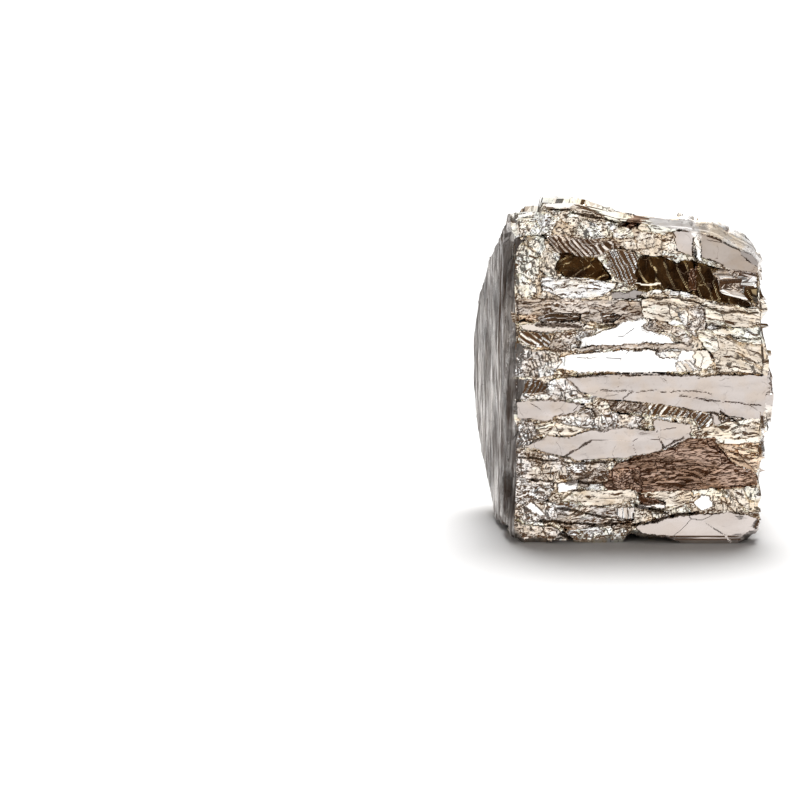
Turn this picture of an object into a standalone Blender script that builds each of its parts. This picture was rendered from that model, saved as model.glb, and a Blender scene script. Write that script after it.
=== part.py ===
"""A lump of bismuth metal, split off a cast bar.

The metal froze inwards from the mould, so its crystals are long columns that run from the grey
mould skin on the left to the broken inner end on the right. Every other side is a fracture along
the columns: each column shows one flat cleavage face, or a stair of thin cleavage layers.

One piece of metal is one solid. A core carries the crystals, and each crystal is a prism rooted
in the core whose outer end is its cleavage plane. Sizes are in millimetres until place_lump.
X runs along the columns, -Y is the front, +Z is up.
"""

import math
import random

import bmesh
import bpy
from mathutils import Matrix, Vector

MM = 0.001

# The front fracture, measured along itself: x from the skin's edge, h up from its lowest ledge.
FRONT_WIDTH = 25.4
FRONT_HEIGHT = 33.6
FRONT_LEAN = math.radians(5)
# The skin isn't square to the front: it spreads to the left towards the back.
SKIN_SPREAD = math.tan(math.radians(11))
# The lump stands on a flat that lies this far below the front's lowest ledge.
FOOT_DROP = 0.5
# The core stays this far inside the crystals, which reach down to these depths.
CORE_INSET = 1.25
FRONT_ROOT = 2.3
COLUMN_ROOT = 1.75
INNER_END_ROOT = 2.2
SKIN_ROOT = 1.6
# Tiles of the inner end and ridges of the skin stop this far from the edges.
EDGE_MARGIN = 0.9
# Each crystal is this much wider than its outline, so that neighbours overlap and fuse.
OVERLAP = 1.03
# Layers of a stepped crystal overlap by this much, so that they fuse.
LAYER_LAP = 0.06
SHORTEST_EDGE = 0.08

# Outlines of the lump across the columns, as (depth behind the front, height), anticlockwise
# seen from the skin's end: up the front, over the top and down the back to the foot.
SKIN_OUTLINE = [
    (0.4, 1.2), (0.3, 12.0), (1.3, 23.0), (2.7, 32.8), (5.2, 31.6), (11.5, 27.4), (16.4, 23.0),
    (19.4, 16.8), (19.0, 12.4), (16.6, 7.0), (12.4, 2.4), (8.4, -0.6), (1.2, -0.6),
]
INNER_OUTLINE = [
    (0.3, 1.4), (0.6, 12.0), (1.7, 22.0), (3.2, 28.8), (7.4, 28.6), (12.6, 26.4), (17.2, 21.6),
    (20.4, 15.6), (20.8, 10.4), (19.2, 5.2), (16.8, 1.2), (15.2, -0.6), (1.4, -0.6),
]

# The front's crystals: outline as (x, h) points, how far the middle of the cleavage face stands
# out, how far it leans up and to the right in degrees, and the direction of its layers if it
# broke in steps (degrees from the columns), or None for one flat face.
FRONT_CRYSTALS = {
    "upper_band_left": ([(0.2, 32.1), (0.8, 32.6), (2.6, 32.6), (2.8, 33.7), (5.4, 33.6),
                         (7.8, 33.1), (9.8, 32.4), (10.0, 30.9), (7.8, 30.7), (3.1, 31.1),
                         (0.3, 30.9)], 0.10, 8, -3, None),
    "upper_band_middle": ([(8.8, 32.4), (11.3, 32.1), (13.8, 31.9), (16.5, 31.9), (16.3, 29.3),
                           (13.8, 28.7), (12.0, 29.3), (10.0, 30.5)], 0.20, -4, 3, None),
    "grey_face_small": ([(16.5, 32.3), (17.8, 32.0), (18.0, 28.9), (16.4, 29.6),
                         (16.0, 30.7)], 0.45, -8, -5, None),
    "grey_face_corner": ([(18.4, 31.7), (19.3, 31.9), (21.0, 31.1), (22.9, 30.2), (24.5, 28.5),
                          (24.5, 27.2), (21.3, 27.9), (18.8, 28.7), (18.2, 30.5)],
                         0.50, -12, 4, None),
    "slanted_layers": ([(3.1, 31.1), (4.8, 31.1), (7.8, 30.7), (10.0, 30.5), (10.8, 29.9),
                        (8.8, 29.1), (6.3, 28.9), (4.8, 29.3), (3.8, 30.2)], 0.20, 2, 0, -55),
    "olive_hollow": ([(4.7, 29.4), (7.3, 28.9), (8.5, 28.9), (9.4, 27.7), (10.0, 26.8),
                      (8.8, 26.6), (7.3, 26.9), (5.3, 27.0), (4.0, 27.8)], -0.85, 5, 2, None),
    "left_cream": ([(0.2, 30.9), (3.1, 31.1), (4.0, 30.0), (4.7, 29.4), (4.0, 27.8), (4.8, 26.9),
                    (2.8, 26.9), (2.8, 25.3), (0.2, 24.7)], 0.00, 10, -4, None),
    "steep_layers": ([(9.1, 29.5), (11.0, 29.9), (12.0, 29.4), (12.9, 28.3), (12.2, 26.1),
                      (11.8, 25.8), (10.4, 26.7), (9.6, 27.9)], 0.05, 4, 0, -62),
    "bright_seam": ([(2.8, 26.9), (4.8, 26.9), (8.8, 26.6), (10.6, 26.5), (9.8, 25.5),
                     (8.8, 24.9), (4.8, 24.8), (2.8, 25.5)], -0.10, 16, 1, None),
    "slate_face": ([(9.7, 25.6), (12.9, 25.5), (12.4, 24.6), (10.0, 24.7)], 0.05, -16, -4, None),
    "long_hollow_a": ([(12.2, 27.3), (12.8, 28.7), (15.3, 28.9), (16.4, 28.3), (15.8, 27.0),
                       (16.4, 25.2), (14.3, 25.5), (12.2, 26.1)], -0.85, 5, -4, None),
    "long_hollow_b": ([(16.4, 28.7), (17.8, 28.7), (19.0, 28.0), (18.3, 26.5), (18.8, 24.8),
                       (16.8, 25.1), (15.9, 27.0)], -0.95, 6, 3, None),
    "long_hollow_c": ([(19.0, 28.2), (20.8, 27.9), (22.6, 27.3), (21.3, 26.0), (21.0, 24.3),
                       (19.3, 24.6), (18.6, 26.3)], -0.75, 4, -5, -65),
    "long_hollow_d": ([(21.8, 27.3), (24.5, 26.5), (24.5, 24.2), (22.8, 24.0), (21.2, 24.2),
                       (21.4, 25.7)], -0.60, 7, 3, None),
    "fibres_left": ([(0.2, 24.7), (4.8, 24.7), (9.8, 24.6), (12.8, 24.5), (13.0, 22.9),
                     (10.0, 22.2), (6.3, 22.5), (2.8, 22.5), (0.2, 22.9)], 0.05, 2, 0, 3),
    "fibres_right": ([(12.8, 24.7), (14.3, 25.3), (16.8, 25.0), (19.3, 24.5), (21.3, 24.0),
                      (24.8, 23.9), (25.2, 22.3), (22.8, 21.9), (18.8, 22.3), (15.8, 22.1),
                      (13.0, 22.7)], 0.20, 13, 0, -6),
    "olive_strip": ([(0.5, 22.4), (6.3, 22.5), (8.5, 21.9), (4.8, 21.3), (0.6, 21.4)],
                    0.20, -7, 0, None),
    "brown_slats": ([(0.4, 21.3), (4.8, 21.3), (4.4, 19.9), (2.4, 19.6), (0.4, 20.4)],
                    0.00, 6, 0, -35),
    "dark_gap": ([(4.6, 21.3), (8.8, 21.7), (7.8, 20.7), (6.3, 19.9), (7.8, 19.7), (6.3, 19.1),
                  (4.8, 18.9), (4.0, 19.9)], -0.65, 6, -3, None),
    "white_lens_upper": ([(6.3, 20.0), (7.8, 20.9), (10.0, 22.0), (12.8, 21.9), (14.8, 21.0),
                          (17.2, 20.4), (17.8, 20.1), (12.8, 19.9), (8.8, 20.0)],
                         0.20, 16, 0, None),
    "dark_wedge": ([(13.6, 21.7), (16.0, 22.0), (17.0, 21.6), (18.3, 20.2), (17.2, 19.9),
                    (16.0, 20.7), (14.3, 21.2)], 0.15, 6, 7, None),
    "white_lens_lower": ([(4.0, 18.3), (5.8, 19.2), (8.8, 19.8), (12.8, 19.8), (17.8, 19.9),
                          (18.9, 19.3), (18.0, 17.9), (15.3, 17.4), (12.3, 17.3), (6.8, 17.3),
                          (4.4, 17.5)], 0.25, 18, 1, None),
    "beige_tile": ([(18.1, 19.3), (19.1, 20.0), (20.4, 18.7), (20.1, 17.6), (18.8, 18.2)],
                   0.50, 24, -6, None),
    "cream_right": ([(18.2, 21.5), (20.8, 21.9), (25.0, 21.9), (25.4, 19.5), (25.4, 17.3),
                     (20.8, 17.4), (20.0, 17.6), (20.2, 18.7), (19.1, 20.0)], 0.25, 14, 2, None),
    "left_knots": ([(0.2, 20.3), (2.4, 19.5), (4.4, 19.5), (4.8, 18.5), (4.3, 17.3), (2.3, 16.7),
                    (0.1, 16.7)], 0.10, 4, -5, None),
    "zigzag_comb": ([(0.1, 16.6), (2.8, 16.5), (3.6, 15.7), (3.3, 15.1), (0.1, 15.2)],
                    -0.15, 4, 0, 78),
    "small_tiles": ([(3.3, 16.4), (5.4, 16.9), (6.6, 15.4), (7.8, 14.7), (4.8, 14.5),
                     (0.2, 14.5), (0.2, 15.2), (3.4, 15.1)], 0.00, 11, -3, None),
    "great_band": ([(5.2, 17.1), (12.8, 17.4), (18.8, 17.0), (25.4, 17.2), (25.6, 14.5),
                    (25.4, 12.6), (23.3, 12.4), (21.0, 13.0), (17.8, 13.5), (13.8, 14.1),
                    (9.8, 14.5), (6.6, 15.3)], 0.40, -4, 0.5, None),
    "left_grey_tile": ([(0.3, 14.3), (4.8, 14.6), (7.4, 14.0), (6.3, 13.2), (4.4, 12.8),
                        (3.3, 12.4), (0.4, 12.7)], 0.30, -6, -2, None),
    "diagonal_comb": ([(9.7, 14.4), (12.8, 14.4), (17.8, 13.5), (23.0, 12.7), (21.2, 11.2),
                       (18.8, 11.4), (17.8, 12.7), (13.8, 12.8), (10.0, 13.2)], -0.25, 4, 0, 50),
    "silver_crumbs": ([(4.3, 12.9), (7.8, 13.7), (9.8, 13.3), (13.3, 12.7), (12.8, 11.7),
                       (8.8, 11.5), (6.3, 11.7), (4.4, 12.1)], -0.10, 9, 0, None),
    "cream_strip": ([(1.6, 12.2), (4.8, 12.2), (7.0, 11.7), (7.6, 11.2), (4.8, 10.9),
                     (2.3, 11.1)], 0.05, 16, 0, None),
    "left_crumbs": ([(0.2, 12.6), (1.8, 12.5), (2.8, 11.1), (1.3, 9.9), (0.2, 9.4)],
                    -0.05, 8, -6, None),
    "pink_lens": ([(1.1, 9.9), (3.3, 11.0), (5.8, 10.8), (7.8, 11.5), (11.8, 11.7), (14.4, 11.5),
                   (15.1, 10.5), (14.9, 9.6), (12.8, 8.9), (8.8, 8.5), (6.0, 8.6), (3.3, 9.3)],
                  0.40, -2, 0, None),
    "pink_tile": ([(14.0, 12.6), (17.8, 12.1), (18.0, 10.7), (15.2, 9.6), (14.4, 11.3)],
                  0.30, -4, 3, None),
    "light_slats": ([(18.0, 11.3), (20.3, 12.1), (23.0, 12.6), (25.1, 12.6), (25.1, 10.2),
                     (20.8, 10.2), (18.4, 10.7)], 0.20, 10, 0, 8),
    "brown_fibres": ([(8.8, 6.7), (10.8, 8.3), (14.8, 9.3), (18.0, 10.5), (20.0, 10.8),
                      (21.0, 9.3), (22.3, 7.9), (24.7, 7.1), (24.7, 6.1), (22.3, 5.8),
                      (18.8, 5.4), (12.8, 5.3), (9.6, 5.5)], -0.30, 5, 0, 2),
    "rust_slats": ([(20.4, 10.1), (24.8, 10.1), (25.0, 8.5), (24.6, 7.3), (22.5, 7.9),
                    (21.0, 9.3)], 0.05, 7, 0, -8),
    "left_mix_upper": ([(0.2, 9.4), (3.3, 9.2), (6.3, 8.4), (10.0, 8.3), (8.8, 6.9), (6.3, 6.7),
                        (2.8, 6.5), (0.2, 6.7)], 0.00, 3, -2, None),
    "white_chip": ([(4.1, 6.1), (5.0, 6.6), (6.5, 6.5), (6.6, 5.7), (5.3, 5.5), (4.1, 5.7)],
                   0.30, 18, 2, None),
    "left_mix_lower": ([(0.2, 6.7), (4.0, 6.5), (4.1, 5.6), (3.3, 4.5), (0.2, 4.3)],
                       -0.05, 9, -3, None),
    "cream_bar_left": ([(6.0, 5.5), (8.8, 5.6), (12.4, 5.5), (12.4, 4.5), (8.8, 3.9), (6.3, 4.0),
                        (4.8, 4.5)], 0.15, 16, 0, None),
    "cream_bar_right": ([(12.8, 5.4), (17.8, 5.5), (17.8, 4.5), (16.0, 3.5), (12.6, 3.7)],
                        0.10, 15, 2, None),
    "low_wedge": ([(12.5, 5.2), (13.8, 4.8), (15.5, 4.3), (14.8, 4.0), (12.6, 4.3)],
                  0.30, 6, 3, None),
    "white_chip_right": ([(18.8, 5.2), (19.8, 5.0), (20.0, 4.0), (18.8, 3.6), (18.2, 4.3)],
                         0.40, 17, -2, None),
    "grey_grains": ([(17.8, 5.6), (20.0, 5.7), (21.0, 5.5), (22.8, 4.5), (23.8, 3.3),
                     (18.8, 2.7), (17.8, 3.5)], 0.05, -2, 3, None),
    "pale_corner": ([(21.0, 5.6), (24.7, 5.9), (24.8, 3.3), (23.8, 3.3), (22.3, 4.7)],
                    0.15, 15, 3, None),
    "left_silver": ([(0.2, 4.3), (3.3, 4.5), (4.8, 4.3), (4.4, 2.5), (1.8, 2.3), (0.1, 2.7)],
                    0.00, 12, -4, None),
    "dark_leaves": ([(4.4, 4.3), (8.8, 3.8), (12.0, 3.7), (12.0, 2.5), (8.8, 1.5), (5.3, 1.5),
                     (4.4, 2.5)], -0.25, 5, 0, 6),
    "foot_left": ([(-0.2, 2.4), (0.2, 2.7), (1.8, 1.9), (4.0, 2.0), (5.4, 1.1), (3.8, 0.8),
                   (1.8, 0.7), (-0.1, 1.0)], 0.35, -9, -3, None),
    "foot_middle": ([(5.1, 1.4), (8.8, 2.0), (12.0, 2.2), (11.8, 1.1), (10.8, 0.6), (9.2, 0.2),
                     (6.8, 0.5)], 0.40, -7, 2, None),
    "foot_lens": ([(12.0, 1.9), (13.8, 2.6), (16.8, 3.0), (21.8, 3.4), (24.5, 2.8), (24.5, 1.6),
                   (22.8, 0.6), (19.3, 0.2), (15.8, 0.9), (12.8, 1.3)], 0.55, -5, 1, None),
}
# How wide a layer of a stepped crystal is, and how far its face leans across the layers.
FRONT_LAYER = 0.8
SIDE_LAYER = 1.6
LAYER_LEAN = 13

# The skin is a low lip along the front edge and shallow upright ridges behind it.
SKIN_LIP = [(1.3, 1.2), (4.6, 2.0), (5.4, 9.0), (6.6, 15.0), (6.2, 22.0), (5.6, 27.0), (4.4, 30.4),
            (3.7, 30.6), (2.3, 20.0), (1.6, 12.0)]
SKIN_LIP_RISE = 0.35
SKIN_RIDGES = 17
# The columns of the top stop this far short of the inner end, the others this far.
TOP_SHORT = 1.5
COLUMN_SHORT = 0.2
INNER_END_CRYSTALS = 34
SEED = 83


class Face:
    """A side of the core: a corner, its two directions, the way it faces and its roots' depth."""

    def __init__(self, corner, along, up, root):
        self.root = root
        self.corner = Vector(corner)
        self.along = Vector(along).normalized()
        self.out = self.along.cross(Vector(up)).normalized()
        self.up = self.out.cross(self.along)

    def at(self, x, h, out):
        return self.corner + self.along * x + self.up * h + self.out * out


def middle_of(outline):
    count = len(outline)
    return sum(x for x, _ in outline) / count, sum(h for _, h in outline) / count


def clip(outline, normal, offset):
    """The part of an outline on the side of a line where normal . point is under offset."""
    kept = []
    for (x0, h0), (x1, h1) in zip(outline, outline[1:] + outline[:1]):
        side0 = normal[0] * x0 + normal[1] * h0 - offset
        side1 = normal[0] * x1 + normal[1] * h1 - offset
        if side0 <= 0:
            kept.append((x0, h0))
        if side0 * side1 < 0:
            share = side0 / (side0 - side1)
            kept.append((x0 + share * (x1 - x0), h0 + share * (h1 - h0)))
    return kept


def hull(points):
    """The convex outline round the points, without corners that nearly touch."""
    def chain(ordered):
        kept = []
        for p in ordered:
            while len(kept) > 1:
                a, b = kept[-2], kept[-1]
                if (b[0] - a[0]) * (p[1] - a[1]) - (b[1] - a[1]) * (p[0] - a[0]) > 1e-4:
                    break
                kept.pop()
            kept.append(p)
        return kept[:-1]

    ordered = sorted(points)
    ring = chain(ordered) + chain(ordered[::-1])
    return [p for i, p in enumerate(ring) if math.dist(p, ring[i - 1]) > SHORTEST_EDGE]


def crystal(mesh, face, outline, out, lean_up, lean_side):
    """Adds one crystal to mesh: a prism with a tilted cleavage face, rooted in the core."""
    x0, h0 = middle_of(outline)
    rise_up = -math.tan(math.radians(lean_up))
    rise_side = -math.tan(math.radians(lean_side))
    wide = [(x0 + OVERLAP * (x - x0), h0 + OVERLAP * (h - h0)) for x, h in outline]
    heads = [
        mesh.verts.new(face.at(x, h, out + rise_up * (h - h0) + rise_side * (x - x0)))
        for x, h in wide
    ]
    roots = [mesh.verts.new(face.at(x, h, -face.root)) for x, h in wide]
    mesh.faces.new(heads)
    mesh.faces.new(roots[::-1])
    count = len(outline)
    for i in range(count):
        j = (i + 1) % count
        mesh.faces.new((heads[j], heads[i], roots[i], roots[j]))


def stepped_crystal(mesh, face, outline, out, lean_up, direction, layer_width, rng):
    """Adds a crystal that broke in a stair of thin layers, each with the same lean."""
    turn = math.radians(direction)
    across = (-math.sin(turn), math.cos(turn))
    reach = [across[0] * x + across[1] * h for x, h in outline]
    x0, h0 = middle_of(outline)
    start = min(reach)
    while start < max(reach):
        width = layer_width * rng.uniform(0.7, 1.4)
        layer = clip(outline, across, start + width + LAYER_LAP)
        layer = hull(clip(layer, (-across[0], -across[1]), LAYER_LAP - start))
        if len(layer) > 2:
            x1, h1 = middle_of(layer)
            level = out - math.tan(math.radians(lean_up)) * (h1 - h0) + rng.uniform(-0.1, 0.1)
            crystal(mesh, face, layer, level, lean_up + LAYER_LEAN * across[1],
                    LAYER_LEAN * across[0])
        start += width


def front_face():
    up = (0, math.sin(FRONT_LEAN), math.cos(FRONT_LEAN))
    return Face((0, 0, 0), (1, 0, 0), up, FRONT_ROOT)


def skin_point(depth, height):
    return Vector((-SKIN_SPREAD * depth, depth, height))


def inner_point(depth, height):
    bulge = 1.2 * math.sin(math.pi * min(max(height / FRONT_HEIGHT, 0), 1))
    return Vector((FRONT_WIDTH - 1.6 + bulge, depth, height))


def inset(outline, by):
    """The outline moved inwards by a distance, corner by corner."""
    moved = []
    for i, (y, z) in enumerate(outline):
        before, after = Vector(outline[i - 1]), Vector(outline[(i + 1) % len(outline)])
        run = (after - before).normalized()
        moved.append((y - by * -run.y, z - by * run.x))
    return moved


def add_core(mesh):
    """The core: a bar between the two outlines, inset so that the crystals stand on it."""
    left = [mesh.verts.new(skin_point(y, z)) for y, z in inset(SKIN_OUTLINE, CORE_INSET)]
    right = [mesh.verts.new(inner_point(y, z)) for y, z in inset(INNER_OUTLINE, CORE_INSET)]
    mesh.faces.new(left)
    mesh.faces.new(right[::-1])
    for i in range(len(left)):
        j = (i + 1) % len(left)
        mesh.faces.new((left[j], left[i], right[i], right[j]))


def add_front(mesh, rng):
    for outline, out, lean_up, lean_side, direction in FRONT_CRYSTALS.values():
        if direction is None:
            crystal(mesh, front_face(), outline[::-1], out, lean_up, lean_side)
        else:
            stepped_crystal(mesh, front_face(), outline[::-1], out, lean_up, direction,
                            FRONT_LAYER, rng)


def lens(x0, x1, h, thickness, rng):
    """A column's outline on a fracture: long, blunt at its ends and widest near the middle."""
    length = x1 - x0
    lower = [(x0 + length * t, h - thickness * s * rng.uniform(0.8, 1.15))
             for t, s in ((0.0, 0.15), (0.2, 0.42), (0.6, 0.5), (0.92, 0.3))]
    upper = [(x0 + length * t, h + thickness * s * rng.uniform(0.8, 1.15))
             for t, s in ((1.0, 0.15), (0.8, 0.42), (0.35, 0.5), (0.06, 0.3))]
    return lower + upper


def add_column_sides(mesh, rng):
    """The top, back and foot: long columns laid side by side on each stave of the core."""
    count = len(SKIN_OUTLINE)
    for i in range(3, count):
        j = (i + 1) % count
        if j < 2:
            continue
        low_left, low_right = skin_point(*SKIN_OUTLINE[i]), inner_point(*INNER_OUTLINE[i])
        high_left, high_right = skin_point(*SKIN_OUTLINE[j]), inner_point(*INNER_OUTLINE[j])
        along = (low_right - low_left) + (high_right - high_left)
        up = (high_left - low_left) + (high_right - low_right)
        face = Face((high_left + low_left) / 2, along, up, COLUMN_ROOT)
        short = TOP_SHORT if i < 5 else COLUMN_SHORT
        lay_columns(mesh, face, along.length / 2 - short, up.length / 2, rng)


def lay_columns(mesh, face, length, height, rng):
    """Lays columns over a side that is length long and height high about its middle line."""
    rows = max(1, round(height / 2.2))
    for row in range(rows):
        h = height * ((row + 0.5) / rows - 0.5)
        x = rng.uniform(0.1, 0.4)
        while x < length - 1.5:
            run = rng.uniform(5.0, 15.0)
            thickness = height / rows * rng.uniform(1.15, 1.7)
            end = min(x + run, length)
            outline = lens(x, end, h + rng.uniform(-0.4, 0.4), thickness, rng)
            out = rng.uniform(-0.55, 0.1)
            if rng.random() < 0.15:
                stepped_crystal(mesh, face, outline, out, rng.uniform(-6, 6),
                                rng.choice((-55, -30, 4, 35, 60)), SIDE_LAYER, rng)
            else:
                crystal(mesh, face, outline, out, rng.uniform(-14, 14), rng.uniform(-3, 3))
            x = end - rng.uniform(0.3, 1.2)


def add_inner_end(mesh, rng):
    """The inner end: the columns broken across, as tilted many-sided tiles."""
    low, high = inner_point(0, 0), inner_point(0, FRONT_HEIGHT)
    corner = (FRONT_WIDTH, low.y, low.z)
    face = Face(corner, (0, 1, 0), high - low, INNER_END_ROOT)
    border = inset(INNER_OUTLINE, EDGE_MARGIN)
    placed = 0
    while placed < INNER_END_CRYSTALS:
        depth, height = rng.uniform(1.0, 20.0), rng.uniform(0.5, 29.5)
        if not inside((depth, height), border):
            continue
        radius = rng.uniform(1.4, 3.2)
        sides = rng.randint(5, 7)
        start = rng.uniform(0, math.tau)
        outline = [
            (depth + radius * rng.uniform(0.8, 1.2) * math.cos(start + math.tau * k / sides),
             height + radius * rng.uniform(0.7, 1.1) * math.sin(start + math.tau * k / sides))
            for k in range(sides)
        ]
        outline = hull(within(outline, border))
        if len(outline) > 2:
            crystal(mesh, face, outline, rng.uniform(-1.1, -0.1), rng.uniform(-16, 16),
                    rng.uniform(-16, 16))
        placed += 1


def inside(point, outline):
    """True if the point is inside the outline, which is convex or nearly so."""
    for (y0, z0), (y1, z1) in zip(outline, outline[1:] + outline[:1]):
        if (y1 - y0) * (point[1] - z0) - (z1 - z0) * (point[0] - y0) > 0:
            return False
    return True


def within(outline, border):
    """The outline cut back to the border's sides."""
    for (y0, z0), (y1, z1) in zip(border, border[1:] + border[:1]):
        run = Vector((y1 - y0, z1 - z0)).normalized()
        normal = (-run.y, run.x)
        outline = clip(outline, normal, normal[0] * y0 + normal[1] * z0)
        if len(outline) < 3:
            return []
    return outline


def add_skin(mesh, rng):
    """The mould skin: nearly flat, with a lip at the front and faint upright ridges."""
    foot, spread = skin_point(0, 0), skin_point(10, 0)
    face = Face(foot, foot - spread, (0, 0, 1), SKIN_ROOT)
    crystal(mesh, face, [(-y, z) for y, z in SKIN_LIP], SKIN_LIP_RISE, 0, -4)
    for k in range(SKIN_RIDGES):
        depth = 1.0 + 18.0 * (k + rng.uniform(0.2, 0.8)) / SKIN_RIDGES
        width = rng.uniform(0.9, 1.8)
        middle = 15.5 + rng.uniform(-3, 3)
        half = rng.uniform(11, 17)
        outline = [
            (-depth - width, middle - 0.6 * half), (-depth - 0.3 * width, middle - half),
            (-depth + 0.5 * width, middle - 0.7 * half), (-depth + width, middle + 0.5 * half),
            (-depth + 0.2 * width, middle + half), (-depth - 0.7 * width, middle + 0.7 * half),
        ]
        outline = hull(within_skin(outline))
        if len(outline) > 2:
            crystal(mesh, face, outline, rng.uniform(0.0, 0.12), rng.uniform(-0.5, 0.5),
                    rng.uniform(-5, 5))


def within_skin(outline):
    cut = within([(-y, z) for y, z in outline[::-1]], inset(SKIN_OUTLINE, EDGE_MARGIN))
    return [(-y, z) for y, z in cut[::-1]]


def add_crystals(mesh, rng):
    add_front(mesh, rng)
    add_column_sides(mesh, rng)
    add_inner_end(mesh, rng)
    add_skin(mesh, rng)


def new_object(name, mesh):
    bmesh.ops.recalc_face_normals(mesh, faces=mesh.faces)
    data = bpy.data.meshes.new(name)
    mesh.to_mesh(data)
    mesh.free()
    obj = bpy.data.objects.new(name, data)
    bpy.context.scene.collection.objects.link(obj)
    return obj


def helper(name, builder, *args):
    """An object that a Boolean reads and that is no part of the lump."""
    mesh = bmesh.new()
    builder(mesh, *args)
    obj = new_object(name, mesh)
    obj.hide_render = True
    obj.display_type = "WIRE"
    return obj


def fuse(obj, other):
    """Fuses the other object into obj and removes it."""
    modifier = obj.modifiers.new("Fuse", "BOOLEAN")
    modifier.operation = "UNION"
    modifier.object = other
    modifier.solver = "EXACT"
    modifier.use_self = True
    graph = bpy.context.evaluated_depsgraph_get()
    fused = bpy.data.meshes.new_from_object(obj.evaluated_get(graph))
    obj.modifiers.clear()
    obj.data = fused
    bpy.data.objects.remove(other)


def keep_largest(mesh):
    """Removes closed bubbles and loose chips, so that one shell is left."""
    unseen = set(mesh.verts)
    shells = []
    while unseen:
        start = unseen.pop()
        shell, todo = {start}, [start]
        while todo:
            for edge in todo.pop().link_edges:
                for vert in edge.verts:
                    if vert in unseen:
                        unseen.discard(vert)
                        shell.add(vert)
                        todo.append(vert)
        shells.append(shell)
    largest = max(shells, key=len)
    spare = [vert for vert in mesh.verts if vert not in largest]
    bmesh.ops.delete(mesh, geom=spare, context="VERTS")


def cut_foot(obj):
    """Cuts the lump level below its front's lowest ledge, so that it rests on flats."""
    mesh = bmesh.new()
    mesh.from_mesh(obj.data)
    everything = mesh.verts[:] + mesh.edges[:] + mesh.faces[:]
    bmesh.ops.bisect_plane(mesh, geom=everything, dist=1e-6, plane_co=(0, 0, -FOOT_DROP),
                           plane_no=(0, 0, 1), clear_inner=True)
    rim = [edge for edge in mesh.edges if len(edge.link_faces) == 1]
    bmesh.ops.triangle_fill(mesh, use_beauty=True, edges=rim, normal=(0, 0, -1))
    keep_largest(mesh)
    mesh.to_mesh(obj.data)
    mesh.free()


def bismuth():
    material = bpy.data.materials.new("bismuth")
    material.use_nodes = True
    shader = material.node_tree.nodes["Principled BSDF"]
    shader.inputs["Base Color"].default_value = (0.62, 0.55, 0.52, 1)
    shader.inputs["Metallic"].default_value = 1.0
    shader.inputs["Roughness"].default_value = 0.22
    return material


def place_lump(obj):
    """Scales to metres and sets the origin under the middle of the lump, where it stands."""
    points = [v.co for v in obj.data.vertices]
    low = Vector([min(p[k] for p in points) for k in range(3)])
    high = Vector([max(p[k] for p in points) for k in range(3)])
    foot = Vector(((low.x + high.x) / 2, (low.y + high.y) / 2, low.z))
    obj.data.transform(Matrix.Scale(MM, 4) @ Matrix.Translation(-foot))


def main():
    for obj in list(bpy.data.objects):
        bpy.data.objects.remove(obj)
    rng = random.Random(SEED)
    mesh = bmesh.new()
    add_core(mesh)
    lump = new_object("bismuth_lump", mesh)
    fuse(lump, helper("crystals", add_crystals, rng))
    cut_foot(lump)
    place_lump(lump)
    lump.data.materials.clear()
    lump.data.materials.append(bismuth())


main()
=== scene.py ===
"""The looks of a lump of bismuth: its fine fracture relief, its finishes and a plain studio.

The relief is one fine mesh that stands for the CAD lump. A smooth form follows the lump's
outline, each of its points is dropped on the CAD surface, and the fracture's detail is added
there: facets, stairs of cleavage layers, fibres and crumbs. Lengths of the lump are in
millimetres, in the lump's own axes: X along the columns from the mould skin, Y backwards from
the front fracture's foot, Z up. The rest of the file is in metres.
"""

import logging
import math
from dataclasses import dataclass, field
from enum import Enum

import bpy
import numpy as np
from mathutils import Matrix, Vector
from mathutils.bvhtree import BVHTree
from mathutils.kdtree import KDTree


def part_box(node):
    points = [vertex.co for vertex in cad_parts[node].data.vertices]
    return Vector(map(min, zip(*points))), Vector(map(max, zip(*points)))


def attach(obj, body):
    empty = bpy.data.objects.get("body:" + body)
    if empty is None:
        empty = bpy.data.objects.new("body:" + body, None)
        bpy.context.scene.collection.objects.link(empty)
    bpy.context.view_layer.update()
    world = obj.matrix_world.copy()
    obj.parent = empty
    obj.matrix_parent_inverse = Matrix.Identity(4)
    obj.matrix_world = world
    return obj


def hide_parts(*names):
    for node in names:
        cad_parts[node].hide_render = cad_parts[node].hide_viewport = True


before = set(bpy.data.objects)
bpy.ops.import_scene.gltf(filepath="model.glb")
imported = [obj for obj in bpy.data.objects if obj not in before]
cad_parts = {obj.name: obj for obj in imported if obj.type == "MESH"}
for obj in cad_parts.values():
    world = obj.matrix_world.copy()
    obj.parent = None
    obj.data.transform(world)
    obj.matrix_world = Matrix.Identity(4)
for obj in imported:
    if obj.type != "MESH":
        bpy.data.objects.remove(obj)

log = logging.getLogger("lump")

MM = 0.001
NODE = "bismuth_lump"
# Where the lump's own origin lies in the frame, in millimetres.
ORIGIN_MM = np.array((-11.1755, -10.0059, 0.5))

# The front fracture leans back, and the mould skin spreads to the left as it goes back.
FRONT_LEAN = math.radians(5)
FRONT_WIDTH = 25.4
FRONT_HEIGHT = 33.6
SKIN_SPREAD = math.tan(math.radians(11))
FRONT_OUT = np.array((0.0, -math.cos(FRONT_LEAN), math.sin(FRONT_LEAN)))
SKIN_OUT = np.array((-1.0, -SKIN_SPREAD, 0.0)) / math.hypot(1, SKIN_SPREAD)
INNER_OUT = np.array((1.0, 0.0, 0.0))
# The floor's height in the lump's own axes. No point of the mesh lies lower.
FOOT_LEVEL = -0.5

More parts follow.
